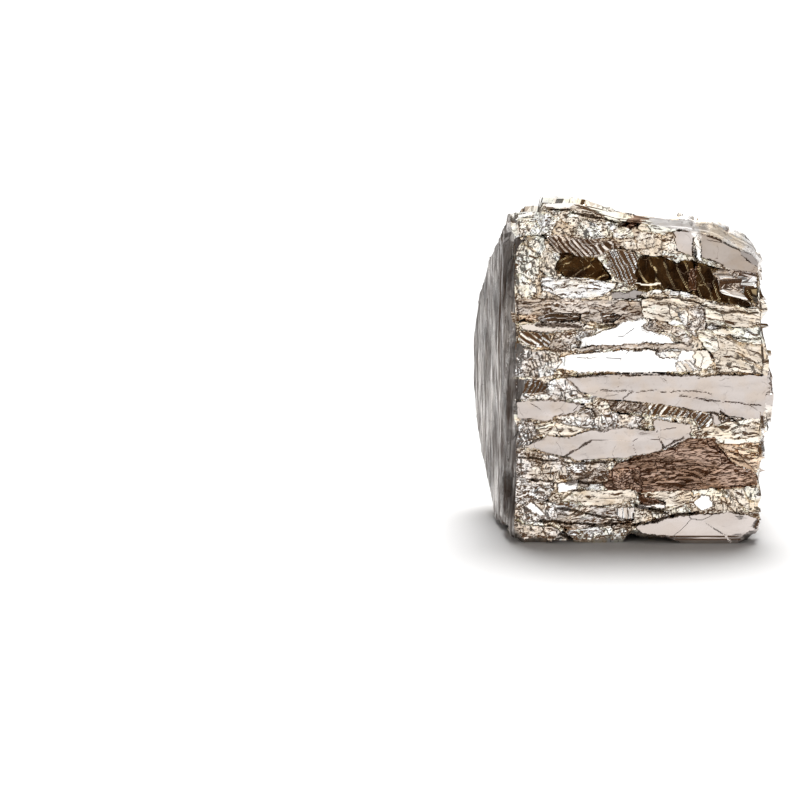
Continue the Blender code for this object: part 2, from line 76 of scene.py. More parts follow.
# Outlines across the columns as (depth, height): up the front, over the top, down the back.
SKIN_OUTLINE = np.array([
    (0.35, -0.35), (0.6, 12.0), (1.6, 23.0), (2.8, 32.6), (5.4, 31.6), (11.5, 27.4), (16.4, 23.0),
    (19.4, 16.8), (19.0, 12.4), (16.6, 7.0), (12.4, 2.4), (8.4, -0.5), (1.1, -0.5),
])
INNER_OUTLINE = np.array([
    (0.35, -0.35), (0.6, 12.0), (1.6, 22.0), (2.9, 28.9), (7.4, 28.6), (12.6, 26.4), (17.2, 21.6),
    (20.4, 15.6), (20.8, 10.4), (19.2, 5.2), (16.8, 1.2), (15.2, -0.5), (1.1, -0.5),
])
# How many of the outlines' sides belong to the front.
FRONT_SEGMENTS = 3
# The front's upper edge as (x, h).
CREST = np.array([
    (0.0, 32.2), (2.5, 32.5), (3.0, 33.4), (6.0, 33.3), (10.0, 32.1), (14.0, 31.6), (16.0, 31.2),
    (18.0, 30.9), (20.0, 30.2), (21.4, 29.4), (23.5, 28.6), (24.4, 27.6), (26.0, 27.4),
])

# The front's ragged lower edge as (x, h). Below it the front draws back and is painted darker as
# shade.
FOOT_EDGE = np.array([
    (0.0, 1.0), (1.2, 0.1), (2.8, 0.3), (4.2, 0.0), (5.9, -0.1), (7.7, -0.4), (9.3, -0.7),
    (11.0, -0.3), (11.6, 0.5), (12.1, 0.7), (14.0, 0.2), (16.7, -0.1), (18.7, -0.3), (21.9, -0.4),
    (22.8, 0.2), (24.4, 1.0),
])

# The numbers that mix the bits of the hash behind every random draw.
HASH_I, HASH_J, HASH_SEED = 374761393, 668265263, 974634777
HASH_ROUNDS = ((13, 1274126177), (15, 2246822519))
HASH_LAST_SHIFT = 16
HASH_WORD, HASH_TOP = 0xFFFFFFFF, 0xFFFFFF
# Where each surface's seeds start, and how far one grain's seed is from the next one's.
SEED_REST, SEED_FRONT, SEED_COLUMNS, SEED_EDGES, SEED_INNER = 900, 1000, 3000, 3400, 5000
SEED_STEP = 40


class Chart(Enum):
    """The parts of the surface, each with its own flat coordinates."""

    FRONT = 0
    WALL = 1
    SKIN = 2
    INNER = 3


class Style(Enum):
    """How a grain's fracture looks close up. The skin didn't break: it froze."""

    MIRROR = 0
    LAYERS = 1
    FIBRES = 2
    CRUMBS = 3
    SKIN = 4
    HOLLOW = 5
    BRIGHT = 6
    FROSTED = 7


class Tint(Enum):
    """The reflected colour of a grain."""

    SILVER = (0.90, 0.86, 0.83)
    PINK = (0.58, 0.525, 0.495)
    CREAM = (0.96, 0.89, 0.79)
    WHITE = (0.97, 0.95, 0.93)
    OLIVE = (0.46, 0.36, 0.20)
    BROWN = (0.46, 0.325, 0.255)
    RUST = (0.80, 0.62, 0.47)
    # Painted shade: a darker copy of the pink metal, for faces that lean down.
    SLATE = (0.35, 0.32, 0.305)
    GREY = (0.66, 0.59, 0.53)
    # Painted shade: a darker copy of the pink metal, for faces that lean down.
    ASH = (0.43, 0.375, 0.335)


@dataclass(frozen=True)
class Grain:
    """One crystal of the front fracture, drawn on the front in millimetres.

    Attributes:
        outline: its corners as (x, h) points.
        out: how far its middle stands out.
        up: how far the grain as a whole leans up, in degrees.
        side: how far it leans to the right, in degrees.
        style: how it broke.
        tint: its reflected colour.
        turn: direction of its layers or fibres in degrees from the columns.
        size: spacing of its layers, or thickness of its fibres or crumbs.
        tilt: angle between its small facets, in degrees.
        bright: share of its fibres' or crumbs' surface that mirrors the lights, from 0 to 1.
        hatch: direction of its finest lines, in degrees from the columns.
    """

    outline: tuple
    out: float
    up: float
    side: float
    style: Style
    tint: Tint
    turn: float = 0.0
    size: float = 0.35
    tilt: float = 14.0
    bright: float = 0.6
    hatch: float | None = None


# Short names of the styles for the tables of grains.
M, L, F, C = Style.MIRROR, Style.LAYERS, Style.FIBRES, Style.CRUMBS
H, B, W = Style.HOLLOW, Style.BRIGHT, Style.FROSTED
FRONT_GRAINS: dict[str, Grain] = {
    "upper_band_left": Grain(
        ((0.2, 32.1), (0.8, 32.6), (2.6, 32.6), (2.8, 33.7), (5.3, 33.6), (7.7, 33.1), (9.7, 32.4),
         (9.9, 30.0), (7.7, 29.8), (3.1, 30.2), (0.3, 30.0)),
        0.1, 7, -3, C, Tint.CREAM, 20, 0.42, 15, 0.61, 78),
    "upper_band_middle": Grain(
        ((8.7, 32.4), (11.2, 32.1), (13.7, 31.9), (16.3, 31.9), (16.1, 28.4), (13.6, 27.8),
         (11.9, 28.4), (9.9, 29.6)),
        0.2, 7, 3, C, Tint.CREAM, 10, 0.46, 15, 0.69, 84),
    "grey_face_small": Grain(
        ((16.3, 32.3), (17.6, 32.0), (17.8, 28.0), (16.2, 28.7), (15.8, 29.8)),
        0.45, -8, -5, M, Tint.PINK),
    "grey_face_corner": Grain(
        ((18.4, 30.7), (19.9, 30.5), (21.3, 29.6), (23.5, 28.7), (24.2, 27.3), (24.2, 26.4),
         (22.0, 26.6), (18.6, 27.9)),
        0.5, -10, 3, M, Tint.ASH),
    "corner_shade": Grain(
        ((20.9, 29.7), (23.5, 28.8), (24.3, 27.4), (24.2, 27.0), (22.5, 28.2)),
        0.45, -10, 9, M, Tint.SLATE),
    "corner_sliver": Grain(
        ((17.6, 30.7), (18.3, 30.7), (18.6, 29.2), (18.5, 27.4), (17.9, 27.8)),
        0.3, 16, 3, M, Tint.WHITE),
    "slanted_layers": Grain(
        ((3.1, 30.2), (4.7, 30.2), (7.7, 29.8), (9.9, 29.6), (10.7, 29.0), (8.7, 28.2),
         (6.2, 28.0), (4.7, 28.4), (3.8, 29.3)),
        0.2, 5, 3, L, Tint.GREY, -52, 0.42, 18),
    "olive_hollow": Grain(
        ((4.6, 28.5), (7.2, 28.0), (8.4, 28.0), (9.3, 26.8), (9.9, 25.9), (8.7, 25.7), (7.2, 26.0),
         (5.2, 26.1), (4.0, 26.9)),
        -0.85, 5, 2, H, Tint.OLIVE, 28, 1.6, 26),
    "left_cream": Grain(
        ((0.2, 30.0), (3.1, 30.2), (4.0, 29.1), (4.6, 28.5), (4.0, 26.9), (4.7, 26.0), (2.8, 26.0),
         (2.8, 24.5), (0.2, 23.9)),
        0.0, 7, -4, C, Tint.CREAM, 15, 0.48, 15, 0.80, 80),
    "steep_layers": Grain(
        ((9.0, 28.6), (10.9, 29.0), (11.9, 28.5), (12.7, 27.4), (12.1, 25.2), (11.7, 24.9),
         (10.3, 25.8), (9.5, 27.0)),
        0.05, 6, 2, L, Tint.CREAM, -64, 0.44, 22),
    "bright_seam": Grain(
        ((2.8, 26.0), (4.7, 26.0), (8.7, 25.7), (10.5, 25.6), (9.7, 24.7), (8.7, 24.1),
         (4.7, 24.0), (2.8, 24.7)),
        -0.1, 7, 1, F, Tint.WHITE, 2, 0.42, 13, 0.82),
    "slate_face": Grain(
        ((9.6, 24.7), (12.8, 24.7), (12.3, 23.8), (9.9, 23.9)),
        0.05, -16, -4, M, Tint.SLATE),
    "long_hollow_left": Grain(
        ((12.1, 27.4), (12.7, 28.1), (14.8, 28.0), (16.2, 27.4), (17.6, 27.8), (18.3, 27.4),
         (17.6, 24.5), (16.6, 24.6), (14.1, 24.9), (12.2, 24.7)),
        -0.85, 5, -2, H, Tint.OLIVE, -62, 1.2, 26),
    "long_hollow_right": Grain(
        ((18.3, 27.4), (22.0, 26.6), (24.2, 26.4), (24.3, 23.2), (22.8, 23.2), (20.8, 23.4),
         (18.6, 24.1), (17.6, 24.5)),
        -0.75, 6, 2, H, Tint.OLIVE, -66, 0.9, 26),
    "hollow_stripe": Grain(
        ((17.4, 26.8), (18.2, 27.2), (18.3, 24.7), (17.6, 24.7)),
        -0.7, 3, 4, L, Tint.BROWN, -76, 0.4, 14),
    "hollow_crumbs": Grain(
        ((19.8, 26.8), (22.3, 26.6), (22.7, 24.7), (20.8, 24.3)),
        -0.6, 7, 0, C, Tint.GREY, -60, 0.34, 15, 0.35),
    "hollow_line": Grain(
        ((12.1, 25.5), (14.8, 25.5), (14.8, 25.3), (12.7, 25.2)),
        -0.6, 16, 0, M, Tint.CREAM),
    "fibres_left": Grain(
        ((0.2, 23.9), (4.7, 23.9), (9.7, 23.8), (12.7, 23.7), (12.9, 22.1), (9.9, 21.4),
         (6.2, 21.7), (2.8, 21.7), (0.2, 22.1)),
        0.05, 7, 0, F, Tint.GREY, 3, 0.30, 13, 0.50),
    "fibres_right": Grain(
        ((12.7, 23.9), (14.1, 24.5), (16.6, 24.2), (19.1, 23.7), (21.1, 23.2), (24.5, 23.1),
         (24.9, 21.5), (22.6, 21.1), (18.6, 21.5), (15.6, 21.3), (12.9, 21.9)),
        0.2, 7, 0, F, Tint.CREAM, -10, 0.38, 13, 0.72),
    "crumbs_by_wedge": Grain(
        ((16.2, 23.1), (19.0, 23.3), (19.2, 20.3), (18.0, 20.1), (16.8, 21.1)),
        0.0, 7, 0, C, Tint.SILVER, -30, 0.5, 15, 0.63),
    "olive_strip": Grain(
        ((0.5, 21.6), (6.2, 21.7), (8.4, 21.1), (4.8, 20.5), (0.6, 20.6)),
        0.2, 7, 0, F, Tint.CREAM, 0, 0.35, 13, 0.77),
    "brown_lens_left": Grain(
        ((2.2, 22.1), (4.4, 22.5), (6.9, 22.3), (6.5, 21.7), (4.0, 21.5), (2.6, 21.7)),
        -0.2, 5, 2, H, Tint.SILVER, 4, 0.5, 16),
    "brown_lens_right": Grain(
        ((8.7, 22.4), (10.1, 22.6), (10.8, 22.2), (9.9, 21.6), (8.9, 21.7)),
        -0.2, 5, -3, H, Tint.SILVER, 8, 0.4, 16),
    "green_lens": Grain(
        ((0.7, 21.2), (2.8, 21.6), (7.2, 21.4), (6.7, 20.9), (3.3, 20.6), (1.0, 20.7)),
        0.2, 18, 0, B, Tint.GREY),
    "rust_spot": Grain(
        ((0.4, 22.4), (2.2, 22.4), (2.4, 21.8), (0.6, 21.7)),
        0.1, 7, 0, F, Tint.RUST, -12, 0.28, 13, 0.68),
    "brown_slats": Grain(
        ((0.5, 20.7), (3.6, 20.6), (4.0, 19.3), (2.8, 19.0), (0.8, 19.4)),
        0.0, 5, 0, L, Tint.CREAM, -38, 0.42, 20),
    "dark_gap": Grain(
        ((4.4, 20.6), (8.5, 20.8), (6.7, 19.7), (6.4, 18.5), (4.0, 18.7), (3.5, 19.4)),
        -0.6, 7, -3, C, Tint.SILVER, 25, 0.5, 18, 0.25),
    "white_lens_upper": Grain(
        ((6.4, 19.2), (6.8, 20.0), (8.7, 20.6), (11.2, 21.6), (12.7, 22.0), (14.2, 21.8),
         (14.9, 20.8), (17.0, 19.6), (15.9, 19.5), (12.7, 19.5)),
        0.2, 19, 0, B, Tint.WHITE),
    "dark_wedge": Grain(
        ((13.7, 21.9), (15.4, 21.6), (17.0, 20.8), (18.0, 19.6), (17.6, 19.1), (16.2, 19.7),
         (14.9, 20.4), (12.7, 21.1)),
        0.15, 6, 6, C, Tint.SILVER, -24, 0.6, 18, 0.3),
    "wedge_light": Grain(
        ((14.2, 21.0), (15.8, 20.5), (17.0, 19.7), (15.9, 19.6)),
        0.3, 7, 3, F, Tint.CREAM, -24, 0.3, 13, 0.35),
    "white_lens_lower": Grain(
        ((4.1, 17.0), (4.4, 17.8), (6.2, 18.5), (8.7, 18.7), (12.7, 18.8), (17.4, 18.9),
         (18.8, 18.6), (18.6, 17.5), (17.7, 16.6), (12.7, 16.6), (6.7, 16.6)),
        0.25, 19, 1, B, Tint.WHITE),
    "between_lenses": Grain(
        ((6.2, 19.1), (8.7, 19.3), (12.7, 19.5), (15.9, 19.5), (17.8, 19.2), (17.6, 18.8),
         (12.7, 18.9), (8.7, 18.9), (6.5, 18.7)),
        0.05, 7, 0, F, Tint.GREY, 1, 0.25, 13, 0.73),
    "lens_scales": Grain(
        ((14.2, 18.7), (16.7, 18.7), (16.5, 18.0), (14.5, 18.0)),
        0.3, 15, 0, L, Tint.WHITE, -50, 0.42, 20),
    "lens_scales_low": Grain(
        ((16.1, 17.7), (18.6, 18.0), (19.0, 17.1), (17.9, 16.6), (16.3, 16.6)),
        0.3, 15, 0, L, Tint.WHITE, -50, 0.42, 20),
    "beige_tile": Grain(
        ((17.9, 18.9), (19.2, 19.0), (19.8, 17.7), (19.0, 16.8), (17.9, 17.1)),
        0.4, 14, -8, M, Tint.CREAM),
    "tile_cleft": Grain(
        ((19.0, 19.3), (19.9, 18.9), (20.2, 18.0), (19.7, 17.9)),
        -0.2, 5, 0, H, Tint.BROWN, 60, 0.4, 10),
    "cream_right": Grain(
        ((18.0, 20.7), (20.6, 21.1), (24.8, 21.1), (25.2, 18.7), (25.2, 16.5), (20.6, 16.6),
         (19.8, 16.8), (20.0, 17.9), (18.9, 19.2)),
        0.25, 7, 2, F, Tint.CREAM, -18, 0.45, 10, 0.9),
    "left_knots": Grain(
        ((0.2, 19.5), (2.4, 18.7), (4.4, 18.7), (4.8, 17.7), (4.3, 16.5), (2.3, 16.0), (0.1, 16.0)),
        0.1, 7, -5, C, Tint.SILVER, 15, 0.38, 15, 0.72),
    "zigzag_comb": Grain(
        ((0.1, 15.8), (2.8, 15.8), (3.6, 15.0), (3.3, 14.4), (0.1, 14.5)),
        -0.15, 4, 0, L, Tint.SILVER, 62, 0.42, 22),
    "small_tiles": Grain(
        ((3.3, 15.7), (5.4, 16.1), (6.6, 14.7), (7.7, 14.0), (4.8, 13.8), (0.2, 13.8), (0.2, 14.5),
         (3.4, 14.4)),
        0.0, 7, -3, C, Tint.SILVER, 0, 0.5, 15, 0.72),
    "great_band": Grain(
        ((5.2, 16.3), (12.7, 16.6), (18.7, 16.3), (25.2, 16.4), (25.4, 13.8), (25.2, 11.9),
         (23.2, 11.7), (20.9, 12.3), (17.7, 12.8), (13.7, 13.4), (9.7, 13.8), (6.6, 14.6)),
        0.4, -4, 0.5, M, Tint.PINK),
    "left_grey_tile": Grain(
        ((0.3, 13.6), (4.8, 13.9), (7.3, 13.3), (6.3, 12.5), (4.4, 12.1), (3.3, 11.7), (0.4, 12.0)),
        0.3, -6, -2, M, Tint.PINK),
    "diagonal_comb": Grain(
        ((9.6, 13.7), (12.7, 13.7), (17.7, 12.8), (22.9, 12.0), (21.1, 10.5), (18.7, 10.7),
         (17.7, 12.0), (13.7, 12.1), (9.9, 12.5)),
        -0.25, 5, 0, L, Tint.CREAM, 48, 0.44, 22),
    "band_triangle_light": Grain(
        ((19.5, 12.5), (20.5, 12.2), (20.9, 11.4), (20.3, 11.1)),
        0.1, 16, 0, B, Tint.PINK),
    "band_triangle_dark": Grain(
        ((20.7, 12.4), (23.1, 12.0), (22.5, 11.5), (21.1, 11.4)),
        -0.3, 7, 0, F, Tint.SILVER, 50, 0.3, 14, 0.3),
    "band_start_dark": Grain(
        ((9.5, 13.6), (12.7, 13.5), (13.7, 12.6), (11.2, 12.4), (9.7, 12.8)),
        -0.35, 7, 0, F, Tint.GREY, 50, 0.3, 14, 0.3),
    "silver_crumbs": Grain(
        ((4.3, 12.2), (7.7, 13.0), (9.7, 12.6), (13.2, 12.0), (12.7, 11.0), (8.8, 10.8),
         (6.3, 11.0), (4.4, 11.4)),
        -0.1, 7, 0, C, Tint.SILVER, 10, 0.38, 15, 0.63),
    "cream_strip": Grain(
        ((1.6, 11.5), (4.8, 11.5), (7.0, 11.0), (7.6, 10.5), (4.8, 10.2), (2.3, 10.4)),
        0.05, 7, 0, F, Tint.CREAM, 0, 0.38, 13, 0.83),
    "left_crumbs": Grain(
        ((0.2, 11.9), (1.8, 11.8), (2.8, 10.4), (1.3, 9.2), (0.2, 8.7)),
        -0.05, 7, -6, C, Tint.SILVER, 30, 0.36, 15, 0.57),
    "pink_lens": Grain(
        ((1.1, 9.2), (3.3, 10.3), (5.8, 10.1), (7.8, 10.8), (11.7, 11.0), (14.3, 10.8),
         (15.0, 9.8), (14.8, 8.9), (12.7, 8.2), (8.8, 7.8), (6.0, 7.9), (3.3, 8.6)),
        0.4, -2, 0, M, Tint.PINK),
    "pink_tile": Grain(
        ((13.9, 11.9), (17.7, 11.4), (17.9, 10.0), (15.1, 8.9), (14.3, 10.6)),
        0.3, -4, 3, M, Tint.PINK),
    "light_slats": Grain(
        ((17.9, 10.6), (20.2, 11.4), (22.9, 11.9), (24.9, 11.9), (25.0, 9.5), (20.7, 9.5),
         (18.3, 10.0)),
        0.2, 7, 0, F, Tint.CREAM, 8, 0.38, 13, 0.76),
    "white_strip": Grain(
        ((20.9, 10.0), (24.9, 10.1), (25.0, 9.4), (20.9, 9.3)),
        0.2, 17, 0, B, Tint.CREAM),
    "brown_fibres": Grain(
        ((8.8, 5.9), (10.8, 7.6), (14.7, 8.6), (17.9, 9.8), (19.9, 10.1), (20.9, 8.6), (22.2, 7.2),
         (24.6, 6.3), (24.6, 5.3), (22.3, 5.0), (18.8, 4.6), (12.8, 4.5), (9.6, 4.7)),
        -0.3, 7, 0, F, Tint.BROWN, 2, 0.34, 14, 0.28),
    "rust_slats": Grain(
        ((20.3, 9.4), (24.7, 9.4), (24.9, 7.8), (24.5, 6.5), (22.4, 7.2), (20.9, 8.6)),
        0.05, 7, 0, F, Tint.RUST, -10, 0.38, 13, 0.49),
    "brown_crumb": Grain(
        ((10.0, 6.8), (12.8, 7.0), (13.0, 4.7), (10.2, 4.6)),
        -0.4, 7, 0, C, Tint.BROWN, 10, 0.34, 15, 0.34),
    "left_mix_upper": Grain(
        ((0.2, 8.7), (3.3, 8.5), (6.3, 7.7), (10.0, 7.6), (8.8, 6.1), (6.3, 5.9), (2.8, 5.7),
         (0.2, 5.9)),
        0.0, 7, -2, C, Tint.SILVER, -5, 0.5, 15, 0.57),
    "brown_band_low": Grain(
        ((5.8, 6.5), (9.6, 6.8), (9.8, 5.5), (7.6, 5.2), (6.0, 5.4)),
        -0.2, 7, 0, F, Tint.GREY, -4, 0.3, 13, 0.51),
    "grey_block": Grain(
        ((6.5, 5.9), (7.5, 6.0), (7.6, 5.0), (6.6, 4.9)),
        0.1, -10, -3, M, Tint.ASH),
    "left_mix_lower": Grain(
        ((0.2, 5.9), (4.0, 5.7), (4.1, 4.8), (3.3, 3.7), (0.2, 3.5)),
        -0.05, 7, -3, C, Tint.SILVER, 0, 0.4, 15, 0.36),
    "cream_bar_left": Grain(
        ((6.0, 4.7), (8.8, 4.8), (12.4, 4.7), (12.4, 3.7), (8.8, 3.1), (6.3, 3.2), (4.8, 3.7)),
        0.15, 7, 0, F, Tint.CREAM, -3, 0.45, 9, 0.92),
    "white_chip_left": Grain(
        ((4.3, 5.5), (6.5, 5.7), (6.4, 4.7), (4.6, 4.6)),
        0.3, 17, 2, B, Tint.WHITE),
    "cream_bar_right": Grain(
        ((12.8, 4.6), (17.8, 4.7), (17.8, 3.7), (16.0, 2.7), (12.6, 2.9)),
        0.1, 7, 2, F, Tint.CREAM, 3, 0.45, 13, 0.74),
    "low_wedge": Grain(
        ((12.5, 4.4), (13.8, 4.0), (15.5, 3.5), (14.8, 3.2), (12.6, 3.5)),
        0.1, 5, 3, H, Tint.BROWN, 8, 0.5, 14),
    "chip_strip": Grain(
        ((12.3, 3.4), (15.3, 3.4), (15.2, 2.9), (12.4, 2.9)),
        0.3, 18, 0, B, Tint.WHITE),
    "grey_grains": Grain(
        ((17.8, 4.8), (20.0, 4.9), (21.0, 4.7), (22.8, 3.7), (23.8, 2.5), (18.8, 1.9), (17.8, 2.7)),
        0.05, 7, 3, C, Tint.CREAM, 0, 0.5, 15, 0.69),
    "pale_corner": Grain(
        ((21.0, 4.8), (24.6, 5.1), (24.8, 2.5), (23.8, 2.5), (22.3, 3.9)),
        0.15, 7, 3, C, Tint.CREAM, 0, 0.5, 11, 0.95),
    "white_chip_right": Grain(
        ((18.8, 4.4), (19.8, 4.2), (20.0, 3.2), (18.8, 2.8), (18.2, 3.5)),
        0.4, 19, -2, B, Tint.WHITE, 0, 0.35, 8, 0),
    "left_silver": Grain(
        ((0.2, 3.5), (3.3, 3.7), (4.8, 3.5), (4.4, 1.7), (1.8, 1.5), (0.1, 1.9)),
        0.0, 7, -4, C, Tint.SILVER, 20, 0.42, 15, 0.62),
    "dark_leaves": Grain(
        ((4.4, 3.5), (8.8, 3.0), (12.0, 2.9), (12.0, 1.7), (8.8, 0.7), (5.3, 0.7), (4.4, 1.7)),
        -0.25, 7, 0, F, Tint.SILVER, 8, 0.45, 13, 0.35),
    "chip_slant": Grain(
        ((1.2, 3.0), (1.8, 3.5), (3.5, 2.4), (2.9, 2.1)),
        0.25, 16, -4, B, Tint.WHITE),
    "upright_bars": Grain(
        ((10.2, 3.0), (12.1, 3.0), (12.1, 1.8), (10.3, 1.8)),
        0.1, 14, 0, L, Tint.SILVER, 84, 0.45, 20),
    "foot_left": Grain(
        ((-0.2, 1.6), (0.2, 1.9), (1.8, 1.1), (4.0, 1.2), (5.4, 0.3), (3.8, 0.0), (1.8, -0.8),
         (-0.1, 0.2)),
        0.3, 7, -3, C, Tint.SILVER, 0, 0.6, 15, 0.63),
    "foot_middle": Grain(
        ((5.1, 0.6), (8.8, 1.2), (12.0, 1.4), (11.8, 0.3), (10.8, -0.8), (9.2, -0.8), (6.8, -0.8)),
        0.35, 7, 2, C, Tint.CREAM, 0, 0.6, 15, 0.52),
    "foot_dark": Grain(
        ((9.7, 1.6), (11.9, 1.7), (11.8, 0.9), (10.0, 0.8)),
        0.1, 10, 0, C, Tint.GREY, 5, 0.4, 15, 0.3),
    "foot_lens": Grain(
        ((12.0, 1.1), (13.8, 1.8), (16.8, 2.2), (21.8, 2.6), (24.5, 2.0), (24.5, 0.8),
         (22.8, -0.8), (19.3, -0.8), (15.8, 0.1), (12.8, 0.5)),
        0.5, 16, 0, B, Tint.PINK),
    "crest_plate": Grain(
        ((3.1, 34.0), (5.3, 33.8), (6.6, 33.3), (5.3, 33.0), (3.2, 33.0)),
        0.0, 17, 0, B, Tint.WHITE),
    "crest_leaf": Grain(
        ((6.4, 33.4), (9.7, 32.7), (10.9, 31.0), (8.7, 32.1), (6.9, 32.6)),
        0.0, 20, 2, B, Tint.CREAM),
    "crest_band": Grain(
        ((11.3, 32.4), (13.9, 32.2), (18.1, 32.0), (17.8, 30.7), (14.2, 30.3), (12.6, 30.5)),
        0.0, 7, 0, F, Tint.CREAM, -3, 0.34, 13, 0.91),
    "crest_wedge": Grain(
        ((10.6, 31.0), (11.6, 31.9), (12.9, 32.4), (12.8, 31.5), (11.5, 30.8)),
        -0.5, 6, 0, H, Tint.BROWN, 20, 0.8, 10),
}
# What shows between the named grains.
REST_OF_FRONT = Grain(((0, 0), (25, 33)), -0.1, 0, 0, C, Tint.CREAM, 0, 0.42, 15, 0.65)
# A facet that leans up less than this, in degrees, mirrors the dark cards, and one that leans
# more mirrors the lights.
TURN_BRIGHT = 12.0


@dataclass(frozen=True)
class Crack:
    """A crack across the front, cut in and painted dark as shade, in millimetres.

    Attributes:
        line: its points as (x, h).
        width: half its width.
        depth: how deep it is.
    """

    line: tuple
    width: float = 0.10
    depth: float = 0.15


FRONT_CRACKS: dict[str, Crack] = {
    "under_crest_plate": Crack(((3.1, 32.9), (4.8, 32.8), (6.5, 33.0)), 0.11, 0.30),
    "under_crest_leaf": Crack(((5.8, 32.5), (8.8, 31.8), (10.8, 31.3)), 0.12, 0.30),
    "beside_corner": Crack(((17.7, 30.0), (18.1, 28.6), (17.9, 26.7)), 0.06, 0.30),
    "under_hollows": Crack(((12.2, 24.1), (16.6, 24.0), (19.2, 23.2), (20.8, 22.6), (24.2, 22.6)),
        0.11, 0.20),
    "fibre_gap_left": Crack(((2.4, 21.4), (4.8, 21.3), (6.7, 21.1)), 0.17, 0.25),
    "fibre_gap_right": Crack(((8.7, 21.2), (10.5, 21.4)), 0.15, 0.25),
    "right_lens": Crack(((19.6, 21.5), (21.1, 21.1)), 0.14, 0.20),
    "right_line": Crack(((21.1, 20.3), (23.6, 19.9), (24.8, 20.1)), 0.09, 0.20),
    "over_band": Crack(((5.4, 16.3), (9.7, 16.4), (17.9, 16.3)), 0.05, 0.20),
    "band_scratch_left": Crack(((8.7, 14.9), (11.9, 14.7), (14.1, 14.9)), 0.04, 0.06),
    "band_scratch_right": Crack(((14.7, 14.7), (17.7, 14.8), (19.7, 14.5)), 0.04, 0.06),
    "band_break": Crack(((10.7, 13.3), (11.3, 14.2), (11.9, 14.8)), 0.04, 0.08),
    "band_seam": Crack(((16.7, 14.2), (19.5, 13.9), (22.2, 13.6), (25.1, 13.3)), 0.04, 0.10),
    "band_corner": Crack(((20.7, 12.7), (21.9, 11.8), (23.0, 11.1)), 0.07, 0.20),
    "tile_hook": Crack(((6.7, 13.1), (7.7, 12.9), (8.3, 12.1)), 0.12, 0.20),
    "lens_break_left": Crack(((4.8, 7.9), (6.0, 8.7), (7.8, 9.9)), 0.05, 0.12),
    "lens_break_right": Crack(((14.8, 8.9), (15.8, 9.6), (16.9, 10.1)), 0.06, 0.12),
    "under_lens_left": Crack(((0.4, 8.0), (3.3, 7.7), (5.6, 7.5)), 0.10, 0.25),
    "under_lens_right": Crack(((5.6, 7.5), (9.0, 7.4), (12.8, 7.8)), 0.09, 0.25),
    "low_left_gap": Crack(((1.8, 5.8), (2.5, 5.6)), 0.19, 0.30),
    "low_left_band": Crack(((5.6, 5.5), (8.0, 5.4), (10.0, 5.5)), 0.20, 0.20),
    "slat_streak": Crack(((22.2, 8.3), (24.9, 8.1)), 0.09, 0.20),
    "wedge": Crack(((12.3, 3.2), (14.0, 2.9), (15.5, 2.4)), 0.18, 0.30),
    "foot_gap": Crack(((11.9, 1.2), (14.3, 1.7), (16.4, 2.2), (18.5, 2.5)), 0.13, 0.35),
    "leaf_gap_upper": Crack(((4.6, 2.8), (7.2, 2.4), (9.8, 1.9)), 0.11, 0.25),
    "leaf_gap_lower": Crack(((2.8, 1.6), (5.8, 1.4), (8.6, 1.1), (11.6, 1.4)), 0.12, 0.30),
    "foot_hollow": Crack(((4.8, 0.3), (6.6, -0.8), (8.3, -0.8)), 0.17, 0.25),
    "crest_wedge_low": Crack(((10.5, 31.1), (11.6, 31.4), (12.8, 31.9)), 0.22, 0.3),
}


def plain(style: Style, tint: Tint, *details: float) -> Grain:
    """A grain without an outline or a lean of its own, for the surfaces away from the front."""
    return Grain(((0.0, 0.0),), 0, 0, 0, style, tint, *details)


# The columns of the top, back and foot, and the tiles of the inner end: a draw from -1 to 1
# picks the last kind whose threshold it reaches.
COLUMN_KINDS = (
    (-1.0, plain(M, Tint.PINK)),
    (-0.35, plain(F, Tint.CREAM, 0, 0.35)),
    (0.05, plain(L, Tint.SILVER, -50, 0.4, 12)),
    (0.30, plain(L, Tint.BROWN, 55, 0.45, 11)),
    (0.45, plain(C, Tint.CREAM, 10, 0.45)),
    (0.85, plain(H, Tint.OLIVE)),
)
TILE_KINDS = (
    (-1.0, plain(M, Tint.PINK)),
    (-0.3, plain(C, Tint.SILVER, 30, 0.5)),
    (0.2, plain(L, Tint.CREAM, 40, 0.4, 12)),
    (0.5, plain(L, Tint.SILVER, -30, 0.4, 12)),
    (0.86, plain(H, Tint.OLIVE)),
)
FOOT_KIND = plain(C, Tint.SILVER, 0, 0.7)
CREST_KIND = plain(F, Tint.CREAM, 2, 0.6, 7, 0.5)
PLATE_KIND = plain(W, Tint.WHITE)


def hash01(i: np.ndarray, j: np.ndarray, seed: int) -> np.ndarray:
    """Gives a repeatable random number from 0 to 1 for each pair of whole numbers.

    Args:
        i: first whole numbers.
        j: second whole numbers.
        seed: picks another set of random numbers.

    Returns:
        The random numbers.
    """
    h = i.astype(np.int64) * HASH_I + j.astype(np.int64) * HASH_J + seed * HASH_SEED
    h = (h & HASH_WORD).astype(np.uint64)
    for shift, mixer in HASH_ROUNDS:
        h = ((h ^ (h >> np.uint64(shift))) * np.uint64(mixer)) & np.uint64(HASH_WORD)
    h = (h ^ (h >> np.uint64(HASH_LAST_SHIFT))) & np.uint64(HASH_TOP)
    return h.astype(np.float64) / HASH_TOP


def noise(a: np.ndarray, b: np.ndarray, seed: int) -> np.ndarray:
    """Smooth noise from -1 to 1 whose hills are about one unit wide.

    A factor on a coordinate is the number of hills to a millimetre.

    Args:
        a: first coordinates.
        b: second coordinates.
        seed: picks another noise.

    Returns:
        The noise at each point.
    """
    i, j = np.floor(a), np.floor(b)
    u, v = a - i, b - j
    u, v = u * u * (3 - 2 * u), v * v * (3 - 2 * v)
    low = hash01(i, j, seed) * (1 - u) + hash01(i + 1, j, seed) * u
    high = hash01(i, j + 1, seed) * (1 - u) + hash01(i + 1, j + 1, seed) * u
    return (low * (1 - v) + high * v) * 2 - 1


